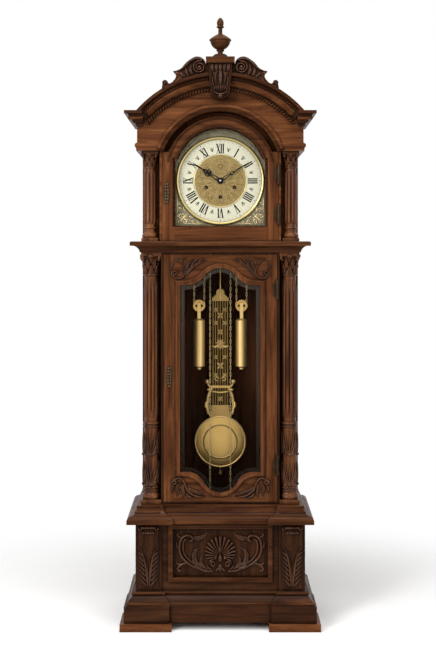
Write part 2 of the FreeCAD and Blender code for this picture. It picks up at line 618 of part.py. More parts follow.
def serpentine(half, low, high):
    """The waist glass outline: flat shoulders, then an ogee up to the crown and down to the foot."""
    def ogee(x0, z0, rise):
        run, lift = abs(x0) / 2, abs(rise) / 2
        radius = (run ** 2 + lift ** 2) / (2 * lift)
        turn = math.asin(run / radius) / 2
        side, up = math.copysign(1, x0), math.copysign(1, rise)
        across, along = radius * math.sin(turn), radius * (1 - math.cos(turn))
        return [((x0 - side * across, z0 + up * along), (x0 / 2, z0 + rise / 2)),
                ((side * across, z0 + rise - up * along), (0.0, z0 + rise))]

    def back(x0, z0, rise):
        first, second = ogee(x0, z0, rise)
        return [(second[0], first[1]), (first[0], (x0, z0))]

    inset = half - s.glass_flat
    return closed((-half, low), (-half, high), (-inset, high), *ogee(-inset, high, s.glass_rise),
                  *back(inset, high, s.glass_rise), (half, high), (half, low), (inset, low),
                  *ogee(inset, low, -s.glass_drop), *back(-inset, low, -s.glass_drop))


def doors():
    """Both doors with their glass, mouldings, lock plates and hinge leaves."""
    half, low, high = s.waist_door_width / 2, z_cap + s.rail, z_trunk - s.rail
    glass_half, glass_low = s.waist_glass_width / 2, z_cap + s.waist_glass_bottom
    glass_high = z_trunk - s.waist_glass_shoulder

    def sight(grow):
        return serpentine(glass_half + grow, glass_low - grow, glass_high + grow)

    frame = closed((-half, low), (half, low), (half, high), (-half, high))
    keep(panel("waist_leaf", [frame, sight(0)], trunk_front, "door_thick"), "waist_door")
    keep(panel("waist_pane", [sight(-s.pane_gap)], trunk_front, "glass_thick"), "waist_door_glass")
    bead = panel("waist_bead", [sight(s.glass_bead), sight(-s.glass_lap)], trunk_front - s.bead_proud,
                 "bead_proud")
    keep(bead, "waist_glass_moulding")

    half = s.hood_door_width / 2
    arch = break_arch(half, z_hood + s.door_gap, door_shoulder, s.door_arch_radius)
    opening = (s.hood_sight_width / 2, z_hood + s.hood_sight_bottom, z_hood + s.hood_sight_shoulder)
    window = break_arch(*opening, s.hood_sight_radius)
    keep(panel("hood_leaf", [arch, window], trunk_front, "door_thick"), "hood_door")
    gap = s.pane_gap
    pane = break_arch(opening[0] - gap, opening[1] + gap, opening[2] - gap, s.hood_sight_radius - gap)
    keep(panel("hood_pane", [pane], trunk_front + s.door_thick / 2, "glass_thick"), "hood_door_glass")

    for name, x, z in (("waist", -s.waist_lock_x, z_cap + s.waist_lock_height),
                       ("hood", -s.hood_lock_x, z_hood + s.hood_lock_height)):
        wide, tall = s.lock_width / 2, s.lock_height / 2
        plate = closed((x - 0.5 * wide, z - 0.7 * tall), ((x, z - tall), (x + 0.5 * wide, z - 0.7 * tall)),
                       ((x + wide, z), (x + 0.5 * wide, z + 0.7 * tall)),
                       ((x, z + tall), (x - 0.5 * wide, z + 0.7 * tall)),
                       ((x - wide, z), (x - 0.5 * wide, z - 0.7 * tall)))
        keep(panel(name + "_lock", [plate, circle(s.key_radius, x, z)], trunk_front - s.lock_thick,
                   "lock_thick"),
             name + "_escutcheon")

    pins = []
    waist_heights = (z_cap + s.waist_hinge_low, z_trunk - s.waist_hinge_high)
    hood_heights = (z_hood + s.hood_hinge_low, z_hood + s.hood_hinge_high)
    for name, half, heights in (("waist", s.waist_door_width / 2, waist_heights),
                                ("hood", s.hood_door_width / 2, hood_heights)):
        x, y = half + s.door_gap / 2, trunk_front - s.hinge_proud
        leaves = []
        for i, z in enumerate(heights):
            tag = "%s_hinge_%d" % (name, i)
            knuckle = rod(tag + "_knuckle", (x, y, z), "knuckle_radius", "knuckle_length")
            leaf = block(tag + "_leaf", (x - s.leaf_width, trunk_front - s.leaf_thick, z), "leaf_width",
                         "leaf_thick", "knuckle_length")
            bore = rod(tag + "_bore", (x, y, z), "pin_radius + running_fit", "knuckle_length")
            leaves.append(cut(tag + "_turning", fuse(tag + "_blank", knuckle, leaf), bore))
            ends = [rod(tag + "_pin", (x, y, z - s.end_length - s.pane_gap), "pin_radius",
                        "knuckle_length + 2 * end_length + 2 * pane_gap")]
            for j, foot in enumerate((z - s.end_length - s.pane_gap, z + s.knuckle_length + s.pane_gap)):
                ends.append(rod(tag + "_end_%d" % j, (x, y, foot), "knuckle_radius", "end_length"))
                ends.append(block(tag + "_fixed_%d" % j, (x, trunk_front - s.leaf_thick, foot), "rail",
                                  "leaf_thick", "end_length"))
            pins.append(fuse(tag + "_fixed", *ends))
        keep(group(name + "_leaves", *leaves), name + "_hinge_leaves")
    keep(group("fixed_hinges", *pins), "hinge_pins")


def rectangle(half, low, high):
    return closed((-half, low), (half, low), (half, high), (-half, high))


def gear(teeth, module, phase):
    """A wheel outline whose first tooth points along the phase angle, with room between meshing teeth."""
    pitch = 2 * math.pi / teeth
    root, tip = module * (teeth / 2 - 1.15), module * (teeth / 2 + 0.75)
    points = []
    for i in range(int(teeth)):
        for radius, share in ((root, -0.22), (tip, -0.09), (tip, 0.09), (root, 0.22)):
            turn = phase + (i + share) * pitch
            points.append((radius * math.cos(turn), radius * math.sin(turn)))
    return closed(*points)


def wheel(name, teeth, module, phase, place, bore, thick="wheel_thick"):
    body = panel(name, [gear(teeth, module, phase), circle(bore)], 0, thick)
    body.Placement = place
    return body


def dial():
    """Arched plate, chapter ring, bezel, centre disc and the corner ornaments."""
    half = s.dial_width / 2
    holes = [(-s.eyelet_offset, -s.eyelet_drop), (s.eyelet_offset, -s.eyelet_drop), (0, -s.low_eyelet_drop)]
    pipe = s.arbor_radius + s.pipe_wall + s.pipe_room

    def pierced(z):
        return [circle(pipe, 0, z)] + [circle(s.eyelet_radius, x, z + dz) for x, dz in holes]

    arch = break_arch(half, dial_z - half, z_hood + s.hood_sight_shoulder, s.hood_sight_radius)
    keep(panel("plate", [arch] + pierced(dial_z), dial_y, "dial_thick"), "dial_plate")
    inside = [circle(s.chapter_inner, 0, dial_z)] + pierced(dial_z)
    keep(panel("disc", inside, dial_y - s.disc_thick, "disc_thick"), "dial_centre")
    face = at(0, dial_y, dial_z, FACE_ON)
    inner, outer, rim, thick = s.chapter_inner, s.chapter_radius, s.bezel_radius, s.ring_thick
    ring = closed((inner, 0), (outer, 0), (outer, thick), (inner, thick))
    keep(turned("ring", ring, face), "chapter_ring")
    crest = (outer / 2 + rim / 2, 2.6 * thick)
    bead = closed((outer, 0), (rim, 0), (rim, 0.5 * thick), (crest, (outer, 1.2 * thick)))
    keep(turned("bead", bead, face), "dial_bezel")
    edge = half - 2 * s.mask_lap
    corner = rim + s.mask_lap
    near = math.sqrt(corner ** 2 - edge ** 2)
    diagonal = corner / math.sqrt(2)
    ornament = closed((-edge, dial_z - edge), (-edge, dial_z - near), ((-diagonal, dial_z - diagonal),
                      (-near, dial_z - edge)))
    plaque = panel("corner_ornament", [ornament], dial_y - s.disc_thick, "disc_thick")
    keep(both_sides("corners", plaque), "spandrels")


def hour_outline(size):
    """A pierced hour hand: a long loop, a cross with three eyes and a tapered point."""
    def at_share(*shares):
        return tuple(size * share for share in shares)

    blade = symmetric((0, 0), at_share(0.028, 0.03), (at_share(0.055, 0.2), at_share(0.018, 0.32)),
                      (at_share(0.085, 0.36), at_share(0.11, 0.43)),
                      (at_share(0.085, 0.48), at_share(0.035, 0.48)),
                      (at_share(0.055, 0.54), at_share(0.016, 0.6)), at_share(0.022, 0.8), (0, size))
    loop = symmetric(at_share(0, 0.1), (at_share(0.03, 0.2), at_share(0, 0.3)))
    eyes = [circle(0.026 * size, x, 0.425 * size) for x in (-0.068 * size, 0.068 * size)]
    return [blade, loop, circle(0.022 * size, 0, 0.52 * size)] + eyes


def minute_outline(size):
    """A pierced minute hand: a long loop, a ring and a slender point."""
    def at_share(*shares):
        return tuple(size * share for share in shares)

    blade = symmetric((0, 0), at_share(0.024, 0.04), (at_share(0.045, 0.18), at_share(0.014, 0.32)),
                      (at_share(0.05, 0.4), at_share(0.014, 0.48)), at_share(0.018, 0.7), (0, size))
    loop = symmetric(at_share(0, 0.09), (at_share(0.024, 0.18), at_share(0, 0.29)))
    return [blade, loop, circle(0.03 * size, 0, 0.4 * size)]


def hand(name, outlines, y, angle):
    """A flat hand on the dial, turned clockwise from twelve."""
    body = panel(name, outlines, 0, "hand_thick")
    body.Placement = at(0, y, dial_z, Rotation(Vector(0, 1, 0), angle))
    return body


def motion_work():
    """Hands, cannon pinion, hour wheel and the minute wheel that gears them down."""
    arbor, pipe = s.arbor_radius, s.arbor_radius + s.pipe_wall
    minute_y = dial_y - s.minute_hand_gap
    hour_y = dial_y - s.hour_hand_gap
    hour_wheel_y = dial_y + s.dial_thick + s.hour_wheel_gap
    cannon_y = hour_wheel_y + s.wheel_thick + s.wheel_room
    down = -math.pi / 2
    cannon_teeth, minute_teeth, pinion_teeth, hour_teeth = 12, 36, 10, 40
    fast = 2 * s.gear_pitch_gap / (cannon_teeth + minute_teeth)
    slow = 2 * s.gear_pitch_gap / (pinion_teeth + hour_teeth)

    shaft = rod("minute_arbor", (0, minute_y - s.end_room, dial_z), "arbor_radius",
                "dial_front + minute_hand_gap - plate_gap / 2 + 2 * end_room", "Y")
    boss = rod("minute_boss", (0, minute_y, dial_z), "2 * arbor_radius", "2 * hand_thick", "Y")
    blade = hand("minute_blade", minute_outline(s.minute_hand_length), minute_y, s.minute_angle)
    pinion = wheel("cannon_pinion", cannon_teeth, fast, down, at(0, cannon_y, dial_z), 0.5 * arbor)
    keep(fuse("minute_set", shaft, boss, blade, pinion), "minute_hand")

    tube = closed((arbor + s.running_fit, 0), (pipe, 0), (pipe, hour_wheel_y + s.wheel_thick - hour_y),
                  (arbor + s.running_fit, hour_wheel_y + s.wheel_thick - hour_y))
    sleeve = turned("hour_pipe", tube, at(0, hour_y, dial_z, TURN["Y"]))
    blade = hand("hour_blade", hour_outline(s.hour_hand_length), hour_y, s.hour_angle)
    collar = rod("hour_boss", (0, hour_y, dial_z), "3 * arbor_radius", "hand_thick", "Y")
    eye = rod("hour_eye", (0, hour_y - s.end_room, dial_z), "arbor_radius + running_fit",
              "hand_thick + 2 * end_room", "Y")
    big = wheel("hour_gear", hour_teeth, slow, down, at(0, hour_wheel_y, dial_z), arbor + s.running_fit)
    flat = cut("hour_dial_hand", fuse("hour_flat", blade, collar), eye)
    keep(fuse("hour_set", flat, sleeve, big), "hour_hand")

    low = dial_z - s.gear_pitch_gap
    up = math.pi / 2
    bore = s.stud_radius + s.running_fit
    large = wheel("minute_gear", minute_teeth, fast, up + math.pi / minute_teeth, at(0, cannon_y, low), bore)
    hub = closed((bore, 0), (pipe, 0), (pipe, s.wheel_room), (bore, s.wheel_room))
    spacer = turned("minute_hub", hub, at(0, hour_wheel_y + s.wheel_thick, low, TURN["Y"]))
    small = wheel("minute_pinion", pinion_teeth, slow, up + math.pi / pinion_teeth, at(0, hour_wheel_y, low),
                  bore)
    keep(fuse("minute_wheels", large, spacer, small), "minute_wheel")


def movement():
    """Seat board, plates, pillars, trains and gong."""
    seat = block("seat", (-trunk_half + s.board, recess_back + s.board, seat_z), "trunk_width - 2 * board",
                 "seat_depth + chain_depth - recess_depth - board", "seat_thick")
    slot_half = s.sprocket_radius + s.chain_wire + s.slot_room
    slot = block("chain_slot", (-s.sprocket_x - slot_half, chain_y - s.slot_room, seat_z),
                 "2 * sprocket_radius + 2 * chain_wire + 2 * slot_room", "2 * slot_room", "seat_thick")
    keep(cut("seat_cut", seat, both_sides("chain_slots", slot)), "seat_board")

    low, high = seat_z + s.seat_thick, seat_z + s.seat_thick + s.plate_height
    half, hole = s.plate_width / 2, s.arbor_radius + s.running_fit
    sprockets = [circle(hole, side * s.sprocket_x, sprocket_z) for side in (-1, 1)]
    outline = rectangle(half, low, high)
    keep(panel("front_brass", [outline, circle(hole, 0, dial_z)] + sprockets, plate_front - s.plate_thick,
               "plate_thick"), "front_plate")
    keep(panel("back_brass", [outline, circle(hole, 0, pivot_z)] + sprockets, plate_back, "plate_thick"),
         "back_plate")

    inset = 2 * s.pillar_radius
    columns, rows = (inset - half, half - inset), (low + inset, high - inset)
    pillars = [rod("pillar_%d%d" % (i, j), (x, plate_front, z), "pillar_radius", "plate_gap", "Y")
               for i, x in enumerate(columns) for j, z in enumerate(rows)]
    behind = dial_y + s.dial_thick
    reach = "dial_front - dial_thick - plate_gap / 2 - plate_thick"
    feet = [rod("dial_foot_%d%d" % (i, j), (x, behind, z), "pillar_radius / 2", reach, "Y")
            for i, x in enumerate(columns) for j, z in enumerate((dial_z - half / 2, high - inset))]
    stud = rod("minute_stud", (0, behind + s.hour_wheel_gap, dial_z - s.gear_pitch_gap), "stud_radius",
               reach + " - hour_wheel_gap", "Y")
    fall = s.pulley_radius - s.groove_depth
    hook = rod("hook", (-s.weight_x - fall, chain_y, seat_z - s.hook_length), "chain_wire", "hook_length")
    hooks = both_sides("hooks", hook)
    keep(group("pillars", *pillars, *feet, stud, hooks), "movement_pillars")

    wheels = [train_wheel(*row) for row in TRAINS]
    wheels.append(train_wheel("escape", 0, pivot_z - s.escape_drop - dial_z, s.escape_teeth, s.escape_y))
    keep(group("train_wheels", *wheels), "wheel_trains")

    for side, name in ((-1, "left"), (1, "right")):
        x = side * s.sprocket_x
        drum = s.sprocket_radius - s.chain_wire / 2 - s.soft_gap
        flange, width = s.sprocket_radius + s.chain_wire, s.pulley_thick / 2
        side_width = width + s.flange_thick
        profile = closed((0, -side_width), (flange, -side_width), (flange, -width), (drum, -width),
                         (drum, width),
                         (flange, width), (flange, side_width), (0, side_width))
        spool = turned("spool_" + name, profile, at(x, chain_y, sprocket_z, TURN["Y"]))
        shaft = rod("great_arbor_" + name, (x, plate_front - s.plate_thick, sprocket_z), "arbor_radius",
                    "plate_gap + 2 * plate_thick", "Y")
        module = 2 * s.great_wheel_radius / s.great_wheel_teeth
        place = at(x, chain_y + s.great_wheel_y, sprocket_z)
        great = wheel("great_" + name, s.great_wheel_teeth, module, 0, place, 0.5 * s.arbor_radius)
        keep(fuse("sprocket_set_" + name, spool, shaft, great), "sprocket_" + name)

    gong_z, pitch = seat_z + s.gong_height, s.gong_width / s.gong_rods
    yoke = block("gong_block", (s.gong_x, back_inner - s.gong_depth, gong_z), "gong_width", "gong_depth",
                 "gong_depth")
    rods = [rod("gong_rod_%d" % i, (s.gong_x + (i + 0.5) * pitch, back_inner - s.gong_depth / 2,
                                    gong_z - s.gong_length), "gong_rod", "gong_length")
            for i in range(int(s.gong_rods))]
    keep(group("gong_set", yoke, *rods), "gong")


# Wheels of both trains: place beside and above the dial centre, teeth, and place behind the chains.
TRAINS = (("centre", 0, 0, 60, 10), ("third", 34, -10, 44, 20), ("count", -40, -45, 48, 4),
          ("warning", -52, 8, 40, 14))


def train_wheel(name, x, rise, teeth, depth):
    """One toothed wheel of a train on its arbor, which runs between the plates."""
    gap = "centre_gap" if name == "centre" else "soft_gap"
    z = dial_z + rise
    arbor = rod(name + "_arbor", (x, plate_front + getattr(s, gap), z), "arbor_radius",
                "plate_gap - soft_gap - " + gap, "Y")
    gear_wheel = wheel(name + "_wheel", teeth, s.train_module, 0, at(x, chain_y + depth, z),
                       0.5 * s.arbor_radius)
    return fuse(name + "_set", arbor, gear_wheel)


def pendulum():
    """Cock, rod, lattice, lyre, bob and rating nut, with the anchor and crutch that drive them."""
    y = chain_y + s.pendulum_y
    back = plate_back + s.plate_thick
    shelf = block("cock_shelf", (-s.cock_width / 2, back, pivot_z + s.cock_rise), "cock_width",
                  "pendulum_y + cock_reach - plate_gap / 2 - plate_thick", "cock_thick")
    lug = block("cock_lug", (-s.cock_width / 2, y + s.cock_reach - s.cock_thick / 2,
                             pivot_z - s.cock_rise / 2),
                "cock_width", "cock_thick / 2", "1.5 * cock_rise + cock_thick")
    pin = rod("cock_pin", (0, y - s.cock_reach / 2, pivot_z), "arbor_radius",
              "1.5 * cock_reach - cock_thick / 2", "Y")
    keep(fuse("cock", shelf, lug, pin), "suspension_cock")

    eye = block("eye_block", (-s.eye_width / 2, y - s.eye_depth / 2, pivot_z - s.eye_width / 2), "eye_width",
                "eye_depth", "eye_width")
    bore = rod("eye_bore", (0, y - s.eye_depth / 2, pivot_z), "arbor_radius + running_fit", "eye_depth", "Y")
    loop = cut("pendulum_eye", eye, bore)
    top_plate = bob_z + s.lattice_bottom + s.lattice_height
    stem = rod("pendulum_stem", (0, y, top_plate + s.head_height), "rod_radius",
               "pendulum_length - lattice_bottom - lattice_height - head_height - eye_width / 2")
    tail_low = bob_z - s.bob_radius - s.rod_tail
    tail = rod("pendulum_tail", (0, y, tail_low), "rod_radius / 2", "rod_tail")
    keep(group("pendulum_bars", fuse("pendulum_upper", loop, stem), tail), "pendulum_rod")

    low, half, tall = bob_z + s.lattice_bottom, s.lattice_width / 2, s.head_height
    shoulders = symmetric((0, top_plate), (half, top_plate), (half, top_plate + 0.2 * tall),
                          ((0.7 * half, top_plate + 0.42 * tall), (0.45 * half, top_plate + 0.56 * tall)),
                          ((0.45 * half, top_plate + 0.8 * tall), (0.16 * half, top_plate + tall)),
                          (0, top_plate + tall))
    head = panel("lattice_head", [shoulders], y - s.rod_radius, "2 * rod_radius")
    step = s.lattice_width / s.lattice_rods
    wires = [rod("lattice_rod_%d" % i, (-half + (i + 0.5) * step, y, low), "rod_radius / 2", "lattice_height")
             for i in range(int(s.lattice_rods))]
    rim = s.bob_radius + s.soft_gap
    wide = s.foot_width / 2
    edge = bob_z + math.sqrt(rim ** 2 - wide ** 2)
    skirt = closed((-wide, edge), (-half, low), (half, low), (wide, edge), ((0, bob_z + rim), (-wide, edge)))
    foot = panel("lattice_skirt", [skirt], y - s.rod_radius, "2 * rod_radius")
    keep(fuse("lattice", head, foot, *wires), "pendulum_lattice")

    wide, tall, base = s.lyre_width / 2, s.lyre_height, bob_z + s.lyre_rise

    def on_lyre(across, up):
        return (across * wide, base + up * tall)

    outer = [(on_lyre(0.96, 0.18), on_lyre(0.98, 0.42)), (on_lyre(0.84, 0.72), on_lyre(0.62, 1))]
    inner = [(on_lyre(0.8, 0.2), on_lyre(0.81, 0.42)), (on_lyre(0.7, 0.68), on_lyre(0.5, 0.92))]
    arms = symmetric(on_lyre(0, 0.92), on_lyre(0.5, 0.92), (inner[1][0], inner[0][1]),
                     (inner[0][0], on_lyre(0.72, 0)),
                     on_lyre(0.86, 0), *outer, on_lyre(0, 1))
    plate = panel("lyre_plate", [arms], y - s.rod_radius / 2 - s.lyre_thick, "lyre_thick")
    keep(plate, "pendulum_lyre")

    radius, thick = s.bob_radius, s.bob_thick / 2
    flat = 0.1 * radius
    lens = closed((0, -thick), (flat, -thick), ((0.65 * radius, -0.76 * thick), (radius, -0.3 * thick)),
                  (radius, 0.3 * thick), ((0.65 * radius, 0.76 * thick), (flat, thick)), (0, thick))
    keep(turned("bob", lens, at(0, y, bob_z, FACE_ON)), "pendulum_bob")
    nut = closed((s.rod_radius / 2 + s.running_fit, 0), (s.nut_radius, 0), (s.nut_radius, s.nut_radius),
                 (s.rod_radius / 2 + s.running_fit, s.nut_radius))
    keep(turned("nut", nut, at(0, y, tail_low + s.rod_radius)), "rating_nut")

    arbor = rod("anchor_arbor", (0, plate_front + s.soft_gap, pivot_z), "arbor_radius",
                "plate_gap + plate_thick + crutch_gap", "Y")
    span, drop = s.pallet_span / 2, s.pallet_drop
    tip = s.pallet_tip
    pallets = closed((-span - tip, -drop), (-span + 0.5 * tip, -drop), (-span + 0.75 * tip, -0.5 * drop),
                     (0, 0),
                     (span - 0.75 * tip, -0.5 * drop), (span - 0.5 * tip, -drop), (span + tip, -drop),
                     (span + 0.75 * tip, -0.2 * drop), (0, 0.7 * drop), (-span - 0.75 * tip, -0.2 * drop))
    arch = panel("pallets", [pallets], 0, "2 * wheel_thick")
    arch.Placement = at(0, chain_y + s.pallet_y, pivot_z)
    crutch_y = back + s.crutch_gap - s.wheel_thick
    arm_bar = block("crutch_arm", (-s.rod_radius / 2, crutch_y, pivot_z - s.crutch_length), "rod_radius",
                    "wheel_thick", "crutch_length")
    bridge = block("crutch_bridge", (-3 * s.rod_radius, crutch_y, pivot_z - s.crutch_length),
                   "6 * rod_radius",
                   "wheel_thick", "2 * rod_radius")
    finger = block("crutch_finger", (-3 * s.rod_radius, crutch_y, pivot_z - s.crutch_length),
                   "1.5 * rod_radius",
                   "pendulum_y - plate_gap / 2", "2 * rod_radius")
    fork = fuse("crutch", arm_bar, bridge, finger, mirror("crutch_finger_right", finger))
    keep(fuse("anchor_set", arbor, arch, fork), "anchor")


def weights():
    """Two weights with their yokes, pulleys and chains."""
    fall = s.pulley_radius - s.groove_depth
    for side, name in ((-1, "left"), (1, "right")):
        x, low = side * s.weight_x, weight_z - s.weight_length
        radius, tall = s.weight_radius, s.weight_length
        profile = closed((0, 0), (0.3 * radius, 0),
                         ((0.42 * radius, 0.025 * tall), (0.3 * radius, 0.05 * tall)),
                         (radius, 0.07 * tall), (radius, 0.97 * tall), (0.5 * radius, tall), (0, tall))
        shell = turned("weight_shell_" + name, profile, at(x, chain_y, low))
        room, left = s.pulley_thick / 2 + s.yoke_room, x - s.yoke_width / 2
        front = chain_y - room - s.yoke_thick
        bar = block("yoke_bar_" + name, (left, front, weight_z), "yoke_width",
                    "pulley_thick + 2 * yoke_room + 2 * yoke_thick", "yoke_thick * 2")
        straps = [block("yoke_%s_%d" % (name, i), (left, y, weight_z), "yoke_width", "yoke_thick",
                        "pulley_rise + yoke_width") for i, y in enumerate((front, chain_y + room))]
        pin = rod("yoke_pin_" + name, (x, chain_y - room, pulley_z), "pin_radius",
                  "pulley_thick + 2 * yoke_room",
                  "Y")
        keep(fuse("weight_set_" + name, shell, bar, *straps, pin), "weight_" + name)

        width, rim, groove = s.pulley_thick / 2, s.pulley_radius, fall - s.chain_wire / 2 - s.soft_gap
        bore = s.pin_radius + s.running_fit
        half_wire = s.chain_wire / 2 + s.soft_gap
        section = closed((bore, -width), (rim, -width), (rim, -half_wire - s.soft_gap), (groove, -half_wire),
                         (groove, half_wire), (rim, half_wire + s.soft_gap), (rim, width), (bore, width))
        sheave = turned("sheave_" + name, section, at(x, chain_y, pulley_z, TURN["Y"]))
        doc.recompute()
        middle = (groove + bore) / 2
        keep(flute(sheave, "sheave_" + name, 4, middle, 0.3 * groove, -width, s.pulley_thick),
             "pulley_" + name)

        outer, lift = x + side * fall, x - side * fall
        free = side * (s.sprocket_x - s.sprocket_radius)
        top = sprocket_z + s.sprocket_radius
        route = [Part.LineSegment(Vector(outer, seat_z - s.hook_length, 0), Vector(outer, pulley_z, 0)),
                 Part.Arc(Vector(outer, pulley_z, 0), Vector(x, pulley_z - fall, 0),
                          Vector(lift, pulley_z, 0)),
                 Part.LineSegment(Vector(lift, pulley_z, 0), Vector(lift, sprocket_z, 0)),
                 Part.Arc(Vector(lift, sprocket_z, 0), Vector(side * s.sprocket_x, top, 0),
                          Vector(free, sprocket_z, 0)),
                 Part.LineSegment(Vector(free, sprocket_z, 0), Vector(free, z_cap + s.chain_end, 0))]
        path = doc.addObject("Sketcher::SketchObject", "chain_route_" + name)
        path.addGeometry(route, False)
        path.Placement = at(0, chain_y, 0, FACE_ON)
        ring = doc.addObject("Sketcher::SketchObject", "chain_section_" + name)
        ring.addGeometry(circle(s.chain_wire / 2), False)
        ring.Placement = at(outer, chain_y, seat_z - s.hook_length)
        tube = doc.addObject("Part::Sweep", "chain_tube_" + name)
        tube.Sections = [ring]
        tube.Spine = (path, ["Edge%d" % i for i in range(1, 6)])
        tube.Solid = True
        keep(tube, "chain_" + name)


def export():
    """Check every object of the model, then write one file for each sub-part."""
    doc.recompute()
    failed = [o.Name for o in doc.Objects if {"Invalid", "Error"} & set(o.State)]
    failed += [o.Label for o in NODES if o.Shape.isNull() or not o.Shape.isValid() or not o.Shape.Solids]
    if failed:
        raise RuntimeError("these pieces failed: " + ", ".join(failed))
    os.makedirs("parts", exist_ok=True)
    for piece in NODES:
        piece.Shape.exportStep(os.path.join("parts", piece.Label + ".step"))
    print(len(NODES), "sub-parts written")


base()
trunk()
hood()
pediment()
doors()
dial()
motion_work()
movement()
pendulum()
weights()
export()
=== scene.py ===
import json
import math
import bmesh
import bpy
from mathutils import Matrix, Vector
from mathutils.bvhtree import BVHTree


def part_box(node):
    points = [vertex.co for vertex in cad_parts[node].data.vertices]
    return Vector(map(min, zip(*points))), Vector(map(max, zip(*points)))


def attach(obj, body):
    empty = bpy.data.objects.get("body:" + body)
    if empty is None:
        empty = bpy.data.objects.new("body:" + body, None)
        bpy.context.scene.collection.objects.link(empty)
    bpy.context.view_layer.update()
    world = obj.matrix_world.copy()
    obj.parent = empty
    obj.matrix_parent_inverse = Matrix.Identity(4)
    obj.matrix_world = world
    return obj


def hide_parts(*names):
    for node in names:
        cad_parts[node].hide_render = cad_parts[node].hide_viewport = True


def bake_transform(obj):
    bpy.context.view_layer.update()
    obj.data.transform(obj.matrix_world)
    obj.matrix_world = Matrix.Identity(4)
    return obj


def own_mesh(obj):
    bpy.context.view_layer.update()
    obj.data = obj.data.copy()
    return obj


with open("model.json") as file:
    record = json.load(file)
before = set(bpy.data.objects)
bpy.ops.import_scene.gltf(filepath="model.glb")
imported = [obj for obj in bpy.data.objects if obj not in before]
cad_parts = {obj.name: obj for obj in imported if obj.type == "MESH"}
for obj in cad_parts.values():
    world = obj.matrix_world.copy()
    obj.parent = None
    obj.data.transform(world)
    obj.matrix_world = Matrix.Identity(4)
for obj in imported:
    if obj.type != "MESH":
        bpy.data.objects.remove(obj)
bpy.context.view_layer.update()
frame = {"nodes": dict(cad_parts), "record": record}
NODES = frame["nodes"]

# The photograph's frame in pixels, and the level camera that took it.
PHOTO_WIDTH, PHOTO_HEIGHT = 436, 650
CLOCK_PX = 220.3
HORIZON_PX = 248.0
MM_PER_PX = 3.62
EYE_HEIGHT = 1.369
CAMERA_DISTANCE = 4.5
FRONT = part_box("waist_door")[0].y


def put(name, data):
    """A new object in the scene."""
    obj = bpy.data.objects.new(name, data)
    bpy.context.collection.objects.link(obj)
    return obj


def camera():
    """A level camera, shifted so that the clock sits in the frame as photographed."""
    data = bpy.data.cameras.new("camera")
    data.sensor_width = 36
    data.sensor_fit = "AUTO"
    focal_px = CAMERA_DISTANCE * 1000 / MM_PER_PX
    data.lens = focal_px * data.sensor_width / PHOTO_HEIGHT
    data.shift_x = (PHOTO_WIDTH / 2 - CLOCK_PX) / PHOTO_HEIGHT
    data.shift_y = (HORIZON_PX - PHOTO_HEIGHT / 2) / PHOTO_HEIGHT
    data.clip_end = 50
    eye = put("camera", data)
    eye.location = (0, FRONT - CAMERA_DISTANCE, EYE_HEIGHT)
    eye.rotation_euler = (math.radians(90), 0, 0)
    bpy.context.scene.camera = eye


camera()


def tree_of(name):
    """A new node material and its main shader."""
    mat = bpy.data.materials.new(name)
    mat.use_nodes = True
    tree = mat.node_tree
    return mat, tree, tree.nodes["Principled BSDF"]


def feed(tree, made, inputs):
    """Link a node's inputs from sockets, or set them to values."""
    for key, value in inputs.items():
        if hasattr(value, "is_output"):
            tree.links.new(value, made.inputs[key])
        else:
            made.inputs[key].default_value = value


def node(tree, kind, inputs=None, **settings):
    """A new shader node with its settings and inputs."""
    made = tree.nodes.new("ShaderNode" + kind)
    for key, value in settings.items():
        setattr(made, key, value)
    feed(tree, made, inputs or {})
    return made


def ramp(tree, factor, *stops):
    """A colour ramp with stops of place and colour, or place and grey."""
    made = node(tree, "ValToRGB", {0: factor})
    cells = made.color_ramp.elements
    while len(cells) < len(stops):
        cells.new(0.5)
    for cell, (place, colour) in zip(cells, stops):
        cell.position = place
        cell.color = (*colour, 1) if isinstance(colour, tuple) else (colour, colour, colour, 1)
    return made.outputs["Color"]


def mixed(tree, kind, factor, one, two):
    """Two colours mixed by a factor."""
    inputs = {0: factor, 6: one, 7: two}
    return node(tree, "Mix", inputs, data_type="RGBA", blend_type=kind).outputs[2]


# Scale of the grain along each axis, half a door rail's length, and the tones of the woods.
GRAIN = {"x": (2.2, 34, 34), "y": (34, 2.2, 34), "z": (34, 34, 2.2)}
RAIL_REACH = 0.166
WALNUT = ((0.046, 0.0130, 0.0040), (0.112, 0.0375, 0.0125), (0.190, 0.071, 0.0250))
INNER = ((0.047, 0.0150, 0.0055), (0.087, 0.0290, 0.0112), (0.124, 0.043, 0.0172))


def along_grain(tree, place, axis):
    """Object space along the grain; a door's rails run across, a roof's boards to the back."""
    if axis in GRAIN:
        return node(tree, "Mapping", {"Vector": place, "Scale": GRAIN[axis]}).outputs["Vector"]
    upright = along_grain(tree, place, "z")
    if axis == "roof":
        facing = node(tree, "NewGeometry").outputs["True Normal"]
        rise = node(tree, "SeparateXYZ", {0: facing}).outputs["Z"]
        level = node(tree, "Math", {0: rise, 1: 0.4}, operation="GREATER_THAN").outputs[0]
        return mixed(tree, "MIX", level, upright, along_grain(tree, place, "y"))
    side = node(tree, "SeparateXYZ", {0: place}).outputs["X"]
    far = node(tree, "Math", {0: side}, operation="ABSOLUTE").outputs[0]
    rail = node(tree, "Math", {0: far, 1: RAIL_REACH}, operation="LESS_THAN").outputs[0]
    return mixed(tree, "MIX", rail, upright, along_grain(tree, place, "x"))


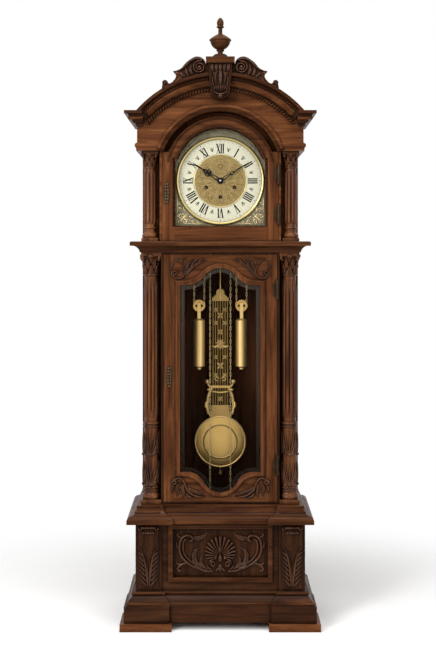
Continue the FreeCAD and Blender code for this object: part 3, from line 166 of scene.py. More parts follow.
def wood(name, axis, shade=1.0, tones=WALNUT, rough=0.34, sheen=0.06, reach=0.014):
    """Polished wood: streaked grain, pores, painted shade in recesses, softened edges lightened as wear and
    painted highlight.
    """
    mat, tree, shader = tree_of(name)
    tones = [tuple(shade * c for c in tone) for tone in tones]
    place = node(tree, "TexCoord").outputs["Object"]
    along = along_grain(tree, place, axis)
    streak = node(tree, "TexNoise", {"Vector": along, "Scale": 1.3, "Detail": 7.0, "Roughness": 0.62,
                                     "Distortion": 0.9})
    patch = node(tree, "TexNoise", {"Vector": place, "Scale": 4.0, "Detail": 3.0})
    pores = node(tree, "TexNoise", {"Vector": along, "Scale": 9.0, "Detail": 3.0, "Roughness": 0.7})
    colour = ramp(tree, streak.outputs["Fac"], (0.34, tones[0]), (0.52, tones[1]), (0.70, tones[2]))
    cloud = ramp(tree, patch.outputs["Fac"], (0.30, 0.72), (0.70, 1.0))
    colour = mixed(tree, "MULTIPLY", 1.0, colour, cloud)
    dots = ramp(tree, pores.outputs["Fac"], (0.34, 0.5), (0.46, 1.0))
    colour = mixed(tree, "MULTIPLY", 0.6, colour, dots)
    # Painted shade: the colour darkens where ambient occlusion finds recesses within reach.
    painted_shade = node(tree, "AmbientOcclusion", {"Distance": reach}, samples=6).outputs["AO"]
    colour = mixed(tree, "MULTIPLY", 0.95, colour, ramp(tree, painted_shade, (0.25, 0.06), (0.9, 1.0)))
    soft = node(tree, "Bevel", {"Radius": 0.0018}, samples=4).outputs["Normal"]
    true = node(tree, "NewGeometry").outputs["Normal"]
    lean = node(tree, "VectorMath", {0: soft, 1: true}, operation="DOT_PRODUCT").outputs["Value"]
    # Painted highlight, partly rubbed wear: edges are lightened past the palest tone, but not where the
    # painted shade of recesses falls.
    edge = ramp(tree, lean, (0.80, 0.55), (0.99, 0.0))
    edge = mixed(tree, "MULTIPLY", 1.0, edge, painted_shade)
    colour = mixed(tree, "MIX", edge, colour, (*(1.4 * c for c in tones[2]), 1))
    gloss = ramp(tree, streak.outputs["Fac"], (0.3, rough + 0.08), (0.7, rough - 0.04))
    bump = node(tree, "Bump", {"Height": dots, "Strength": 0.1, "Distance": 0.0006, "Normal": soft})
    feed(tree, shader, {"Base Color": colour, "Roughness": gloss, "Normal": bump.outputs["Normal"],
                        "Specular IOR Level": sheen})
    return mat


def metal(name, colour, dark, rough, scale=60.0, painted_shade_share=0.7):
    """Polished metal with faint tarnish, and painted shade darkening its recesses."""
    mat, tree, shader = tree_of(name)
    place = node(tree, "TexCoord").outputs["Object"]
    cloud = node(tree, "TexNoise", {"Vector": place, "Scale": scale, "Detail": 4.0, "Roughness": 0.55})
    tone = ramp(tree, cloud.outputs["Fac"], (0.30, dark), (0.70, colour))
    # Painted shade: the tone darkens where ambient occlusion finds recesses.
    painted_shade = node(tree, "AmbientOcclusion", {"Distance": 0.004}, samples=6).outputs["AO"]
    tone = mixed(tree, "MULTIPLY", painted_shade_share, tone, ramp(tree, painted_shade, (0.2, 0.25), (0.85, 1.0)))
    worn = ramp(tree, cloud.outputs["Fac"], (0.3, rough + 0.06), (0.7, rough))
    feed(tree, shader, {"Base Color": tone, "Roughness": worn, "Metallic": 1.0})
    return mat


def glass(name, tint, reflection_strength, share):
    """Thin clear glass with a little gloss, and a faint grey veil of painted reflection that fades lower
    down.
    """
    mat, tree, shader = tree_of(name)
    tree.nodes.remove(shader)
    clear = node(tree, "BsdfTransparent", {"Color": (*tint, 1)})
    painted_reflection = node(tree, "BsdfDiffuse", {"Color": (0.54, 0.47, 0.39, 1)})
    height = node(tree, "SeparateXYZ", {0: node(tree, "TexCoord").outputs["Object"]}).outputs["Z"]
    # Painted reflection: the veil is strongest high up and fades lower down.
    bright = node(tree, "MapRange", {"Value": height, "From Min": 0.6, "From Max": 1.25,
                                     "To Min": 0.2 * reflection_strength, "To Max": reflection_strength})
    veil = node(tree, "MixShader", {0: bright.outputs[0], 1: clear.outputs[0], 2: painted_reflection.outputs[0]})
    shine = node(tree, "BsdfGlossy", {"Color": (1, 1, 1, 1), "Roughness": 0.03})
    facing = node(tree, "Fresnel", {"IOR": 1.3})
    amount = node(tree, "Math", {0: facing.outputs["Fac"], 1: share}, operation="MULTIPLY")
    both = node(tree, "MixShader", {0: amount.outputs[0], 1: veil.outputs[0], 2: shine.outputs[0]})
    tree.links.new(both.outputs[0], tree.nodes["Material Output"].inputs["Surface"])
    return mat


# The dark, cornice, moulding and ground woods are darker copies as painted shade; the frieze and foot woods
# are lighter.
# The woods are one walnut whose tones the factor after the axis scales, partly for each part's own tone,
# partly as painted light and shade.
MATS = {
    "wood_z": wood("wood_upright", "z"),
    "door": wood("wood_door", "door", 0.97),
    "frieze": wood("wood_frieze", "x", 1.2),
    "foot": wood("wood_foot", "x", 1.35),
    "mid": wood("wood_moulding", "x", 0.64, reach=0.02),
    "bead": wood("wood_bead", "x", 0.80),
    "dark": wood("wood_shaded", "x", 0.40, reach=0.02),
    "cornice": wood("wood_cornice", "x", 0.46, reach=0.03),
    "shadow": wood("wood_shadow", "z", 0.28),
    "ground": wood("wood_shaded_ground", "z", 0.36),
    "roof": wood("wood_roof", "roof"),
    "column": wood("wood_turned", "z", 1.08, rough=0.24, sheen=0.13, reach=0.018),
    "drum": wood("wood_drum", "z", 0.70, rough=0.26, sheen=0.18, reach=0.012),
    "carved": wood("wood_carved", "z", 0.66, rough=0.24, sheen=0.20, reach=0.012),
    "inner": wood("wood_inner", "z", 1.0, INNER, 0.6, 0.03),
    "brass": metal("polished_brass", (0.58, 0.37, 0.125), (0.52, 0.32, 0.10), 0.22, 20.0),
    "bob": metal("bob_brass", (0.60, 0.395, 0.135), (0.55, 0.355, 0.115), 0.31, 12.0),
    "lacquered": metal("lacquered_brass", (0.76, 0.55, 0.24), (0.70, 0.49, 0.20), 0.50, 20.0),
    "bezel": metal("bezel_brass", (0.66, 0.53, 0.23), (0.58, 0.45, 0.18), 0.28, 20.0),
    "gilt": metal("gilt_dial", (0.40, 0.295, 0.13), (0.19, 0.132, 0.052), 0.42, 260.0),
    "rods": metal("rod_brass", (0.40, 0.265, 0.095), (0.32, 0.205, 0.07), 0.30, 20.0),
    "engraved": metal("engraved_brass", (0.26, 0.185, 0.076), (0.17, 0.118, 0.046), 0.48, 90.0),
    "plate": metal("dull_plate", (0.25, 0.225, 0.15), (0.16, 0.14, 0.09), 0.42, 90.0),
    "filigree": metal("cast_brass", (0.86, 0.70, 0.42), (0.46, 0.36, 0.19), 0.34, 200.0, 0.9),
    "old_brass": metal("old_brass", (0.050, 0.031, 0.016), (0.028, 0.017, 0.009), 0.44),
    "silvered": metal("silvered_ring", (0.60, 0.58, 0.46), (0.55, 0.53, 0.42), 0.5, 120.0, 0.4),
    "steel": metal("bright_steel", (0.62, 0.62, 0.62), (0.46, 0.46, 0.46), 0.3),
    "chain": metal("chain_brass", (0.72, 0.56, 0.29), (0.55, 0.41, 0.19), 0.34),
    "black": metal("blackened_steel", (0.020, 0.018, 0.017), (0.012, 0.011, 0.011), 0.42),
    "glass": glass("clear_glass", (0.97, 0.97, 0.96), 0.0, 0.06),
    "bevel": glass("bevelled_glass", (0.93, 0.91, 0.87), 0.034, 0.03),
}
SLOT_MATS = {"wood": "wood_z", "carved_wood": "carved", "inner_wood": "inner", "brass": "brass",
             "silvered": "silvered", "blued_steel": "black", "steel": "steel", "glass": "glass"}
# The shadow finish is painted shadow: dark gaps round the waist door and a dark ground round the keystone's
# carving.
FINISHES = {
    "dark": "plinth skirt_moulding base_front_frame", "ground": "base_panel base_pilasters pediment_scrolls",
    "shadow": "keystone trunk_front_frame", "mid": "base_cap_moulding trunk_top_moulding finial",
    "cornice": "hood_cornice", "foot": "feet", "frieze": "hood_front_frame", "roof": "hood_carcass",
    "column": "waist_columns hood_columns", "door": "waist_door hood_door", "bezel": "dial_bezel",
    "plate": "dial_plate spandrels", "gilt": "dial_centre", "bob": "pendulum_bob", "rods": "pendulum_lattice",
    "old_brass": "hinge_pins hood_hinge_leaves waist_hinge_leaves hood_escutcheon waist_escutcheon",
    "lacquered": "weight_left weight_right",
}
NODE_MATS = {name: mat for mat, names in FINISHES.items() for name in names.split()}


def dress_nodes():
    """Give every part of the frame its finish."""
    for part in frame["record"]["subparts"]:
        name = part["node"]
        mesh = NODES[name].data
        mesh.materials.clear()
        mesh.materials.append(MATS[NODE_MATS.get(name, SLOT_MATS[part["material_slot"]])])


dress_nodes()


def leaf(t):
    """A stroke's share of its width along its length: pointed at both ends."""
    return max(math.sin(math.pi * t ** 0.75), 0) ** 0.8


def even(t):
    """The same width throughout, with rounded ends."""
    return min(1, 12 * t, 12 * (1 - t)) ** 0.5


def rib(t):
    """Wider towards a rounded far end."""
    return (0.15 + 0.85 * t) * min(1, 7 * (1 - t)) ** 0.5


def compass(turn):
    """Steps right and up of one unit at an angle in degrees, clockwise from upright."""
    return math.sin(math.radians(turn)), math.cos(math.radians(turn))


def spline(points, count):
    """A smooth curve through points, as count + 1 points."""
    knots = [Vector(p) for p in points]
    knots = [2 * knots[0] - knots[1]] + knots + [2 * knots[-1] - knots[-2]]
    spans = len(knots) - 3
    out = []
    for i in range(count + 1):
        t = i * spans / count
        k = min(int(t), spans - 1)
        f = t - k
        a, b, c, d = knots[k:k + 4]
        out.append(0.5 * (2 * b + (c - a) * f + (2 * a - 5 * b + 4 * c - d) * f ** 2
                          + (3 * b - a - 3 * c + d) * f ** 3))
    return out


def spiral(x, z, inner, outer, start, turn, count=14):
    """Points of a volute from its eye outwards; a positive turn is anticlockwise."""
    out = []
    for i in range(count + 1):
        t = i / count
        radius = inner + (outer - inner) * t
        angle = math.radians(start + turn * t)
        out.append((x + radius * math.cos(angle), z + radius * math.sin(angle)))
    return out


def add_mesh(name, verts, faces, mat, body=None, smooth=True):
    """A mesh with its finish; it rides on a body unless it is to bend or flatten."""
    mesh = bpy.data.meshes.new(name)
    mesh.from_pydata(verts, [], faces)
    work = bmesh.new()
    work.from_mesh(mesh)
    bmesh.ops.recalc_face_normals(work, faces=work.faces)
    work.to_mesh(mesh)
    work.free()
    mesh.polygons.foreach_set("use_smooth", [smooth] * len(mesh.polygons))
    mesh.materials.append(MATS[mat])
    obj = put(name, mesh)
    if body:
        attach(obj, body)
    return obj


BACKWARD = Vector((0, 1, 0))
DIAL_MIDDLE = sum(corner.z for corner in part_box("chapter_ring")) / 2


def surface(name):
    """The skin of a part, for rays to meet."""
    mesh = NODES[name].data
    return BVHTree.FromPolygons([v.co for v in mesh.vertices], [p.vertices for p in mesh.polygons])


def flat(front, x=0.0, z=0.0, flip=1):
    """Lay a drawing in millimetres across, up and out on an upright plane."""
    def place(u, v, h):
        return Vector((x + flip * u / 1000, front - h / 1000, z + v / 1000))

    return place


def drape(name, x=0.0, z=0.0, flip=1, reach=0.03):
    """Lay a drawing on the front of a part, whatever its shape."""
    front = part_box(name)[0].y
    skin = surface(name)

    def place(u, v, h):
        px, pz = x + flip * u / 1000, z + v / 1000
        hit = skin.ray_cast(Vector((px, -1, pz)), BACKWARD)[0]
        y = hit.y if hit and hit.y < front + reach else front + reach / 3
        return Vector((px, y - h / 1000, pz))

    return place


def wrap(x, y, z, girth, radius):
    """Lay a drawing round a column: radius is a function of height, and girth one turn."""
    def place(u, v, h):
        turn = 2 * math.pi * u / girth
        out = (radius(v) + h) / 1000
        return Vector((x + out * math.sin(turn), y - out * math.cos(turn), z + v / 1000))

    return place


def radial(x, y, z, turn):
    """Stand a drawing upright on a column's corner: across is away from the axis."""
    out, along = Vector((math.sin(turn), -math.cos(turn), 0)), Vector((math.cos(turn), math.sin(turn), 0))

    def place(u, v, h):
        return Vector((x, y, z)) + (out * u + along * h + Vector((0, 0, v))) / 1000

    return place


def polar(front, turn, flip=1):
    """Lay a drawing on the dial, up away from its centre, at an angle from twelve."""
    side, up = compass(turn)

    def place(u, v, h):
        u *= flip
        x, z = v * side + u * up, v * up - u * side
        return Vector((x / 1000, front - h / 1000, DIAL_MIDDLE + z / 1000))

    return place


def rounded(width, height, sink):
    """Section of a rounded band, across and up; the last point lies under the surface."""
    crown = ((-0.5, 0), (-0.3, 0.8), (0, 1), (0.3, 0.8), (0.5, 0))
    return [(share * width, rise * height) for share, rise in crown] + [(0, -sink)]


class Carving:
    """Closed shapes drawn in millimetres across, up and out, and laid on a surface by place."""

    def __init__(self, place=None):
        self.place = place
        self.verts = []
        self.faces = []

    def rows(self, rows, loop=False):
        """Join equal rows of points into one closed skin."""
        start, size, count = len(self.verts), len(rows[0]), len(rows)
        for row in rows:
            self.verts.extend(self.place(*point) for point in row)
        for i in range(count if loop else count - 1):
            a, b = start + i * size, start + (i + 1) % count * size
            for j in range(size):
                k = (j + 1) % size
                self.faces.append((a + j, a + k, b + k, b + j))
        if not loop:
            self.faces.append(tuple(range(start, start + size)))
            self.faces.append(tuple(range(start + (count - 1) * size, start + count * size)))

    def stroke(self, points, width, height, shape, steps, across=6, sink=1.0, lobes=0, vein=0.0, curl=0.0):
        """A raised stroke along a smooth curve, rounded, with lobes and a vein if asked."""
        path = spline(points, steps)
        rows = []
        for i, (u, v) in enumerate(path):
            t = i / steps
            ahead = path[min(i + 1, steps)] - path[max(i - 1, 0)]
            side = Vector((-ahead.y, ahead.x)).normalized()
            full = max(shape(t), 0.05)
            half = 0.5 * width * full
            if lobes:
                half *= 0.66 + 0.34 * abs(math.sin(math.pi * lobes * t))
            lift = height * full ** 0.5 + curl * t ** 3
            row = []
            for j in range(across + 1):
                w = 2 * j / across - 1
                crown = max(1 - w * w, 0) ** 0.5 * (1 - vein * max(0, 1 - abs(w) / 0.4))
                row.append((u + side.x * w * half, v + side.y * w * half, (lift + sink) * crown - sink))
            row.append((u, v, -sink - 0.6))
            rows.append(row)
        self.rows(rows)

    def draw(self, table, **more):
        """Strokes of a table: shape, points, width, height, steps, and lobes and vein if any."""
        for shape, points, width, height, steps, *cut in table:
            lobes, vein = (*cut, 0, 0)[:2]
            self.stroke(points, width, height, shape, steps, lobes=lobes, vein=vein, **more)

    def ring(self, x, z, radius, width, height, steps=40):
        """A round raised band about a point."""
        rows = []
        for i in range(steps):
            side, up = compass(360 * i / steps)
            section = [(radius + far, lift) for far, lift in rounded(width, height, 0.6)]
            rows.append([(x + far * side, z + far * up, lift) for far, lift in section])
        self.rows(rows, True)

    def band(self, v, width, height, girth, steps=28):
        """A rounded ring right round a column."""
        section = rounded(width, height, 0.8)
        self.rows([[(girth * i / steps, v + up, lift) for up, lift in section] for i in range(steps)], True)

    def ball(self, u, v, radius, lift=0.0, sides=8):
        """A bead on the surface."""
        rows = []
        for i in range(sides + 1):
            angle = math.pi * min(max(i / sides, 0.02), 0.98)
            ring, up = radius * math.sin(angle), radius * math.cos(angle)
            turns = [2 * math.pi * j / sides for j in range(sides)]
            rows.append([(u + ring * math.cos(turn), v + ring * math.sin(turn), lift + up) for turn in turns])
        self.rows(rows)

    def prism(self, outline, height, sink=0.3):
        """A flat raised mark with square edges."""
        self.rows([[(u, v, level) for u, v in outline] for level in (-sink, height)])

    def build(self, name, mat, slot_name, body=None, smooth=True):
        """The finished piece."""
        return add_mesh(name, self.verts, self.faces, mat, body, smooth)


# Drawings of the carving, stroke by stroke.
PANEL_SCROLL = (
    (even, [(-21, -67), (-47, -68), (-68, -62), (-98, -50), (-119, -37), (-137, -19), (-146, 1), (-148, 24),
            (-143, 45), (-132, 57), (-116, 62), (-104, 57), (-100, 47), (-108, 41), (-115, 46)], 13, 11, 60),
    (even, [(-68, -52), (-96, -40), (-115, -26), (-128, -9), (-134, 10), (-134, 30), (-129, 44), (-118, 50)],
     10, 8, 40),
    (leaf, [(-98, 56), (-84, 50), (-70, 54), (-58, 60), (-44, 74)], 26, 9, 24, 5, 0.6),
    (leaf, [(-56, -60), (-84, -46), (-95, -18), (-88, 8), (-72, 17)], 25, 11, 30, 6, 0.6),
    (leaf, [(-50, -60), (-66, -44), (-70, -22), (-60, -6)], 16, 10, 20, 4, 0.5),
    *((leaf, [(-30 - 12 * k, -66 + 2 * k * k), (-44 - 13 * k, -54 + 2 * k * k),
              (-50 - 13 * k, -40 + 3 * k * k)], 10, 9, 10) for k in range(4)),
    (even, [(-104, -42), (-124, -39), (-142, -46), (-154, -58), (-149, -68), (-140, -63)], 12, 8, 26),
    (leaf, [(-138, -44), (-150, -44), (-161, -36)], 12, 7, 10),
    (leaf, [(-147, 12), (-158, 24), (-156, 42)], 12, 7, 12, 3),
    (leaf, [(-140, 50), (-154, 62), (-148, 76)], 13, 7, 12, 3),
    (even, spiral(-28, -42, 2, 12, 60, 500), 9, 12, 32),
    (leaf, [(-5, -56), (-13, -64), (-19, -72)], 11, 10, 10),
)
SHELL_HEART = (
    (leaf, [(0, -36), (0, -20), (0, -2)], 20, 16, 14),
    (leaf, [(0, -4), (0, 14), (0, 40)], 14, 14, 14, 0, 0.5),
    (leaf, [(0, -40), (0, -56), (0, -76)], 20, 12, 14, 0, 0.5),
)
CONSOLE_LEAF = (
    (leaf, [(3, 12), (7, 60), (12, 104), (22, 142), (34, 162)], 10, 10, 30),
    (leaf, [(2, 12), (3, 66), (6, 124)], 6, 7, 20),
    (even, spiral(31, 229, 2, 9, 90, -420, 12), 7, 10, 20),
)
CORNER_SPRAY = (
    (even, spiral(0, 0, 2, 12, 90, 540, 18) + [(3, -15), (16, -19), (30, -13), (38, 2), (36, 22), (24, 36)],
     8, 9, 48),
    (leaf, [(34, -14), (48, 6), (66, 24), (90, 38), (122, 46)], 17, 9, 28, 7, 0.6),
    (leaf, [(38, 4), (46, 24), (54, 42), (72, 54)], 14, 8, 18, 5, 0.5),
    (leaf, [(30, 30), (24, 42), (12, 50), (0, 48)], 12, 8, 14, 4, 0.5),
    (leaf, [(-8, 10), (-12, 24), (-6, 38), (-10, 48)], 12, 7, 14, 4, 0.5),
    (leaf, [(60, 22), (70, 40), (88, 52)], 11, 8, 12, 4),
    (leaf, [(84, 36), (96, 50), (114, 54)], 9, 7, 12, 3),
    (leaf, [(20, 38), (30, 50), (48, 56)], 9, 7, 12, 3),
)
FOOT_SPRAY = (
    (even, spiral(0, -4, 2, 9, 200, -400) + [(14, 10), (28, 4), (38, -12), (44, -32), (62, -48), (88, -58),
                                             (112, -58)], 10, 10, 44),
    (leaf, [(42, -22), (60, -34), (84, -43), (114, -54)], 18, 9, 24, 6, 0.6),
    (leaf, [(34, -10), (30, -28), (34, -46), (28, -62)], 17, 9, 18, 5, 0.5),
    (leaf, [(12, -12), (8, -28), (13, -42), (8, -58)], 15, 8, 16, 4, 0.5),
    (leaf, [(-2, -14), (-8, -30), (-5, -46)], 12, 8, 14, 4),
    (leaf, [(42, -44), (54, -57), (74, -64)], 13, 8, 12, 3),
)


def base_panel():
    """A shell between leafy scrolls on the panel of the base, in a moulded frame."""
    low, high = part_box("base_panel")
    middle = (low.z + high.z) / 2
    work = Carving()
    for flip in (-1, 1):
        work.place = flat(low.y, 0, middle, flip)
        work.draw(PANEL_SCROLL)
        work.ball(-17, -19, 7, 6)
    ribs, spread, foot = 17, 112, -14
    for k in range(ribs):
        turn = spread * (2 * k / (ribs - 1) - 1)
        length = 76 - 30 * (abs(turn) / spread) ** 1.7
        side, up = compass(turn)
        points = [(far * side, far * up + foot) for far in (8, 0.6 * length, length)]
        work.stroke(points, 0.245 * length, 12, rib, 14)
    work.draw(SHELL_HEART)
    work.build("base_shell", "carved", "carved_wood", "case")

    sections = []
    for far, lift in ((0, 0), (0, 3), (3, 4.5), (5, 3), (13, 4), (16, 2), (18, 0), (9, -1)):
        side, up = 171 + far, 88 + far
        sections.append([(-side, -up, lift), (side, -up, lift), (side, up, lift), (-side, up, lift)])
    edge = Carving(flat(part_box("base_front_frame")[0].y, 0, middle))
    edge.rows(list(zip(*sections)), True)
    edge.build("base_panel_moulding", "mid", "wood", "case", smooth=False)


def consoles():
    """Two feathered leaves up each bracket of the base, under a roll and a row of pearls."""
    low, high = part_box("base_pilasters")
    work = Carving()
    for side in (-1, 1):
        middle = side * (high.x - 0.047)
        for flip in (-1, 1):
            work.place = drape("base_pilasters", middle, low.z, flip)
            work.draw(CONSOLE_LEAF)
            for k in range(7):
                v = 18 + 17 * k
                u = 4 + 0.075 * v
                work.stroke([(u, v), (u + 12, v + 14), (36, v + 36 - 1.5 * k)], 11, 9, leaf, 14, vein=0.4)
        work.stroke([(-28, 232), (0, 232), (28, 232)], 15, 11, even, 14)
        for k in range(5):
            work.ball(-18 + 9 * k, 213, 6 - 0.5 * abs(k - 2), 4)
    work.build("console_leaves", "carved", "carved_wood", "case")


def door_corners():
    """Carved sprays round the waist glass, each drawn from the eye of its volute."""
    work = Carving()
    for flip in (1, -1):
        for height, spray in ((1.277, CORNER_SPRAY), (0.527, FOOT_SPRAY)):
            work.place = flat(FRONT, -0.166 * flip, height, flip)
            work.draw(spray)
    work.build("door_corner_leaves", "carved", "carved_wood", "waist_door")


def capital(work, x, y, z, foot, top, tall):
    """Two rows of leaves, corner volutes and small flowers round a column's bell."""
    def bell(v):
        return foot + (top - foot) * min(max(v / tall, 0), 1) ** 2

    girth = 2 * math.pi * foot
    work.place = wrap(x, y, z, girth, bell)
    for rise, end, shift, curl in ((0.06, 0.50, 0.0, 0.24), (0.30, 0.80, 0.5, 0.28)):
        for k in range(8):
            u = (k + shift) * girth / 8
            points = [(u, rise * tall), (u, (rise + end) / 2 * tall), (u, end * tall)]
            work.stroke(points, 0.118 * girth, 0.08 * tall, leaf, 14, lobes=3, vein=0.6, curl=curl * foot)
    work.band(0.02 * tall, 0.08 * tall, 0.06 * tall, girth)
    for k in range(4):
        work.place = wrap(x, y, z, girth, bell)
        work.ball(k * girth / 4, 0.90 * tall, 0.10 * tall, 0.04 * tall)
        work.place = radial(x, y, z, math.pi * (k / 2 + 0.25))
        curve = spiral(1.08 * top, 0.82 * tall, 1, 0.17 * tall, 0, 500)
        curve += [(0.8 * top, 0.74 * tall), (0.86 * foot, 0.46 * tall)]
        work.stroke(curve, 0.10 * tall, 0.09 * tall, even, 30, sink=0.09 * tall)


def reeds(work, x, y, low, high, radius, count, width):
    """Upright reeds round a column's shaft."""
    girth = 2 * math.pi * radius
    work.place = wrap(x, y, 0, girth, lambda v: radius)
    for k in range(count):
        u = (k + 0.5) * girth / count
        work.stroke([(u, low), (u, (low + high) / 2), (u, high)], width, 4, even, 24)


def palmette(work, u, foot):
    """Seven leaves that fan from one foot, the outer ones shorter."""
    for spread, length in ((0, 96), (-26, 92), (26, 92), (-48, 76), (48, 76), (-68, 56), (68, 56)):
        run, rise = compass(spread)
        work.stroke([(u + 2 * run, foot), (u + 0.26 * length * run, foot + 0.5 * length * rise),
                     (u + 0.34 * length * run, foot + length * (0.2 + 0.8 * rise))], 9, 6, leaf, 14, across=4,
                    lobes=3)


# Axes of the columns, to the side and behind the door's front, and drums of the waist columns.
WAIST_SIDE, WAIST_BEHIND = 0.251, 0.036
HOOD_SIDE, HOOD_BEHIND = 0.256, 0.030
DRUM_RADIUS, DRUM_FOOT = 28.0, 0.482


def columns():
    """Reeds, capitals, carved drums and rings of the four columns."""
    shafts = Carving()
    work = Carving()
    girth = 2 * math.pi * DRUM_RADIUS
    for side in (-1, 1):
        x, y = WAIST_SIDE * side, FRONT + WAIST_BEHIND
        reeds(shafts, x, y, 748, 1246, 24.0, 11, 12.6)
        capital(shafts, x, y, 1.269, 26, 33, 78)
        work.place = wrap(x, y, DRUM_FOOT, girth, lambda v: DRUM_RADIUS)
        for v in (6, 17, 238, 249):
            work.band(v, 7, 4, girth)
        for k in range(4):
            u = k * girth / 4
            for foot in (26, 134):
                palmette(work, u, foot)
                between = [(u + girth / 8, foot + v) for v in (4, 40, 78)]
                work.stroke(between, 11, 6, leaf, 14, across=4, lobes=4)
                work.ball(u, foot + 2, 6, 2)
        x, y = HOOD_SIDE * side, FRONT + HOOD_BEHIND
        reeds(shafts, x, y, 1452, 1650, 19.2, 9, 12.0)
        capital(shafts, x, y, 1.660, 21, 27, 54)
    shafts.build("column_reeds", "column", "carved_wood", "case")
    work.build("column_carving", "drum", "carved_wood", "case")


SCROLL_LEAVES = (
    (even, spiral(-75, 2017, 7, 23, 0, -640, 26) + [(-64, 2044), (-84, 2048), (-104, 2041), (-121, 2026),
                                                   (-138, 2011), (-154, 2003)], 8, 12, 80),
    (leaf, [(-98, 1988), (-107, 2006), (-103, 2030)], 15, 10, 18, 3, 0.5),
    (leaf, [(-112, 1984), (-122, 2000), (-124, 2018)], 14, 10, 18, 3, 0.5),
    (leaf, [(-124, 1982), (-137, 1990), (-148, 2000)], 12, 10, 18, 3, 0.5),
    (leaf, [(-48, 1997), (-70, 1988), (-98, 1986)], 9, 7, 14),
)
SCROLL_STEM = [(-108, 1992), (-128, 1986), (-146, 1976), (-162, 1963), (-178, 1954), (-194, 1950)]
SCROLL_END = (
    (leaf, [(-134, 2000), (-150, 1996), (-168, 2002)], 13, 6, 14),
    (even, spiral(-196, 1958, 2, 10, 270, -420), 8, 9, 26),
)
KEYSTONE_SIDE = (
    (leaf, [(11, 2002), (18, 1982), (14, 1946)], 11, 8, 18, 5, 0.5),
    (even, spiral(23, 1990, 1, 6, 90, -420, 12), 4, 7, 24),
    (even, [(26, 1982), (27, 1964), (22, 1944)], 5, 6, 16),
)


def pediment():
    """Leafy scrolls on the arch, and leaves, a lip and a bud on the keystone."""
    work = Carving()
    for flip in (1, -1):
        work.place = drape("pediment_scrolls", 0, 0, flip)
        work.draw(SCROLL_LEAVES)
        work.ball(-75, 2017, 8, 4)
        work.place = flat(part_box("pediment_scrolls")[0].y + 0.004, 0, 0, flip)
        work.stroke(SCROLL_STEM, 13, 6, even, 30, sink=10)
        work.draw(SCROLL_END, sink=8)
    for flip in (-1, 1):
        work.place = drape("keystone", flip=flip)
        work.draw(KEYSTONE_SIDE)
    for k in range(5):
        u = 15 * (k - 2)
        work.stroke([(u, 2027), (0.96 * u, 2014), (0.9 * u, 1998)], 14, 6, leaf, 14, vein=0.5, curl=4)
    work.stroke([(0, 2004), (0, 1976), (0, 1944)], 18, 10, leaf, 18, lobes=4, vein=0.6)
    for k in range(7):
        u = 7 * (k - 3)
        work.stroke([(0.7 * u, 1950), (u, 1938), (1.1 * u, 1925 + 0.006 * u * u)], 7, 9, leaf, 10)
    work.stroke([(-25, 1929), (-14, 1921), (0, 1918), (14, 1921), (25, 1929)], 7, 10, even, 20)
    work.ball(0, 1912, 9, 1.5)
    work.build("pediment_carving", "carved", "carved_wood", "case")


def rope(work, radius, level, half, pitch, width, lift):
    """A twisted cord along an arch: slanted strands side by side."""
    step = math.degrees(pitch / radius)
    count = int(half / step)
    for k in range(-count, count + 1):
        points = []
        for end in (-1, 0, 1):
            side, up = compass(step * (k + 0.45 * end))
            far = radius + end * width / 2
            points.append((far * side, level + far * up))
        work.stroke(points, 0.8 * pitch, lift, leaf, 6, across=4, sink=0.5)


def arch_bead(work, level, half, profile):
    """A moulding of one profile, radius and height, along an arch."""
    rows = []
    for k in range(61):
        side, up = compass(half * (k / 30 - 1))
        rows.append([(far * side, level + far * up, lift) for far, lift in profile])
    work.rows(rows)


# Heights of the centres of the cornice's arch and of the hood door's.
CORNICE_ARCH, DOOR_ARCH = 1598, 1644


def beads():
    """Cords under the arched cornice and round the hood door, and mouldings of the arches."""
    frieze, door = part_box("hood_front_frame")[0].y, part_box("hood_door")[0].y
    work = Carving(flat(frieze))
    rope(work, 343, CORNICE_ARCH, 50, 11, 13, 7)
    rope(work, 226, DOOR_ARCH, 69, 8, 9, 5)
    work.place = drape("hood_cornice", reach=0.06)
    rope(work, 380, CORNICE_ARCH, 46, 9, 9, 6)
    work.build("frieze_cords", "bead", "carved_wood", "case")
    arch = Carving(flat(frieze))
    profile = ((221, -1), (221, 2), (231, 2.5), (232, 6), (236, 8), (240, 7), (243, 3), (244, -1))
    arch_bead(arch, DOOR_ARCH, 70, profile)
    # The ovolo on the cornice is in the lighter frieze wood, a lit copy against the cornice's painted shade.
    arch.place = drape("hood_cornice", reach=0.06)
    profile = ((352, -2), (352, 2), (358, 5), (365, 6), (371, 4), (374, 1), (374, -2))
    arch_bead(arch, CORNICE_ARCH, 46, profile)
    arch.build("frieze_arch", "frieze", "wood", "case")
    edge = Carving(flat(door))
    rope(edge, 194, DOOR_ARCH, 80, 8, 9, 4.5)
    rope(edge, 169, DOOR_ARCH, 78, 7, 8, 4)
    edge.build("door_cords", "bead", "carved_wood", "hood_door")


# Bars of each letter: x and height of both ends, and thickness; widths of letters.
BARS = {"I": [(0, 0, 0, 1, 4.6)], "V": [(-5.8, 1, 0, 0, 4.8), (5.8, 1, 0.8, 0, 1.9)],
        "X": [(-5.8, 1, 5.8, 0, 4.8), (5.8, 1, -5.8, 0, 1.9)]}
WIDE = {"I": 7.4, "V": 14.6, "X": 14.6}
SERIF = 1.1
HOURS = ("XII", "I", "II", "III", "IIII", "V", "VI", "VII", "VIII", "IX", "X", "XI")


def numeral(work, text, low, tall):
    """A Roman numeral of thick and thin bars with serifs."""
    across = -sum(WIDE[letter] for letter in text) / 2
    for letter in text:
        middle = across + WIDE[letter] / 2
        for x0, v0, x1, v1, thick in BARS[letter]:
            corners = ((x0, v0, -0.5), (x0, v0, 0.5), (x1, v1, 0.5), (x1, v1, -0.5))
            work.prism([(middle + x + end * thick, low + v * tall) for x, v, end in corners], 0.35)
        left, right = middle - WIDE[letter] / 2 + 0.3, middle + WIDE[letter] / 2 - 0.3
        for level in (low, low + tall - SERIF):
            if letter == "V" and level == low:
                continue
            work.prism([(left, level), (right, level), (right, level + SERIF), (left, level + SERIF)], 0.3)
        across += WIDE[letter]


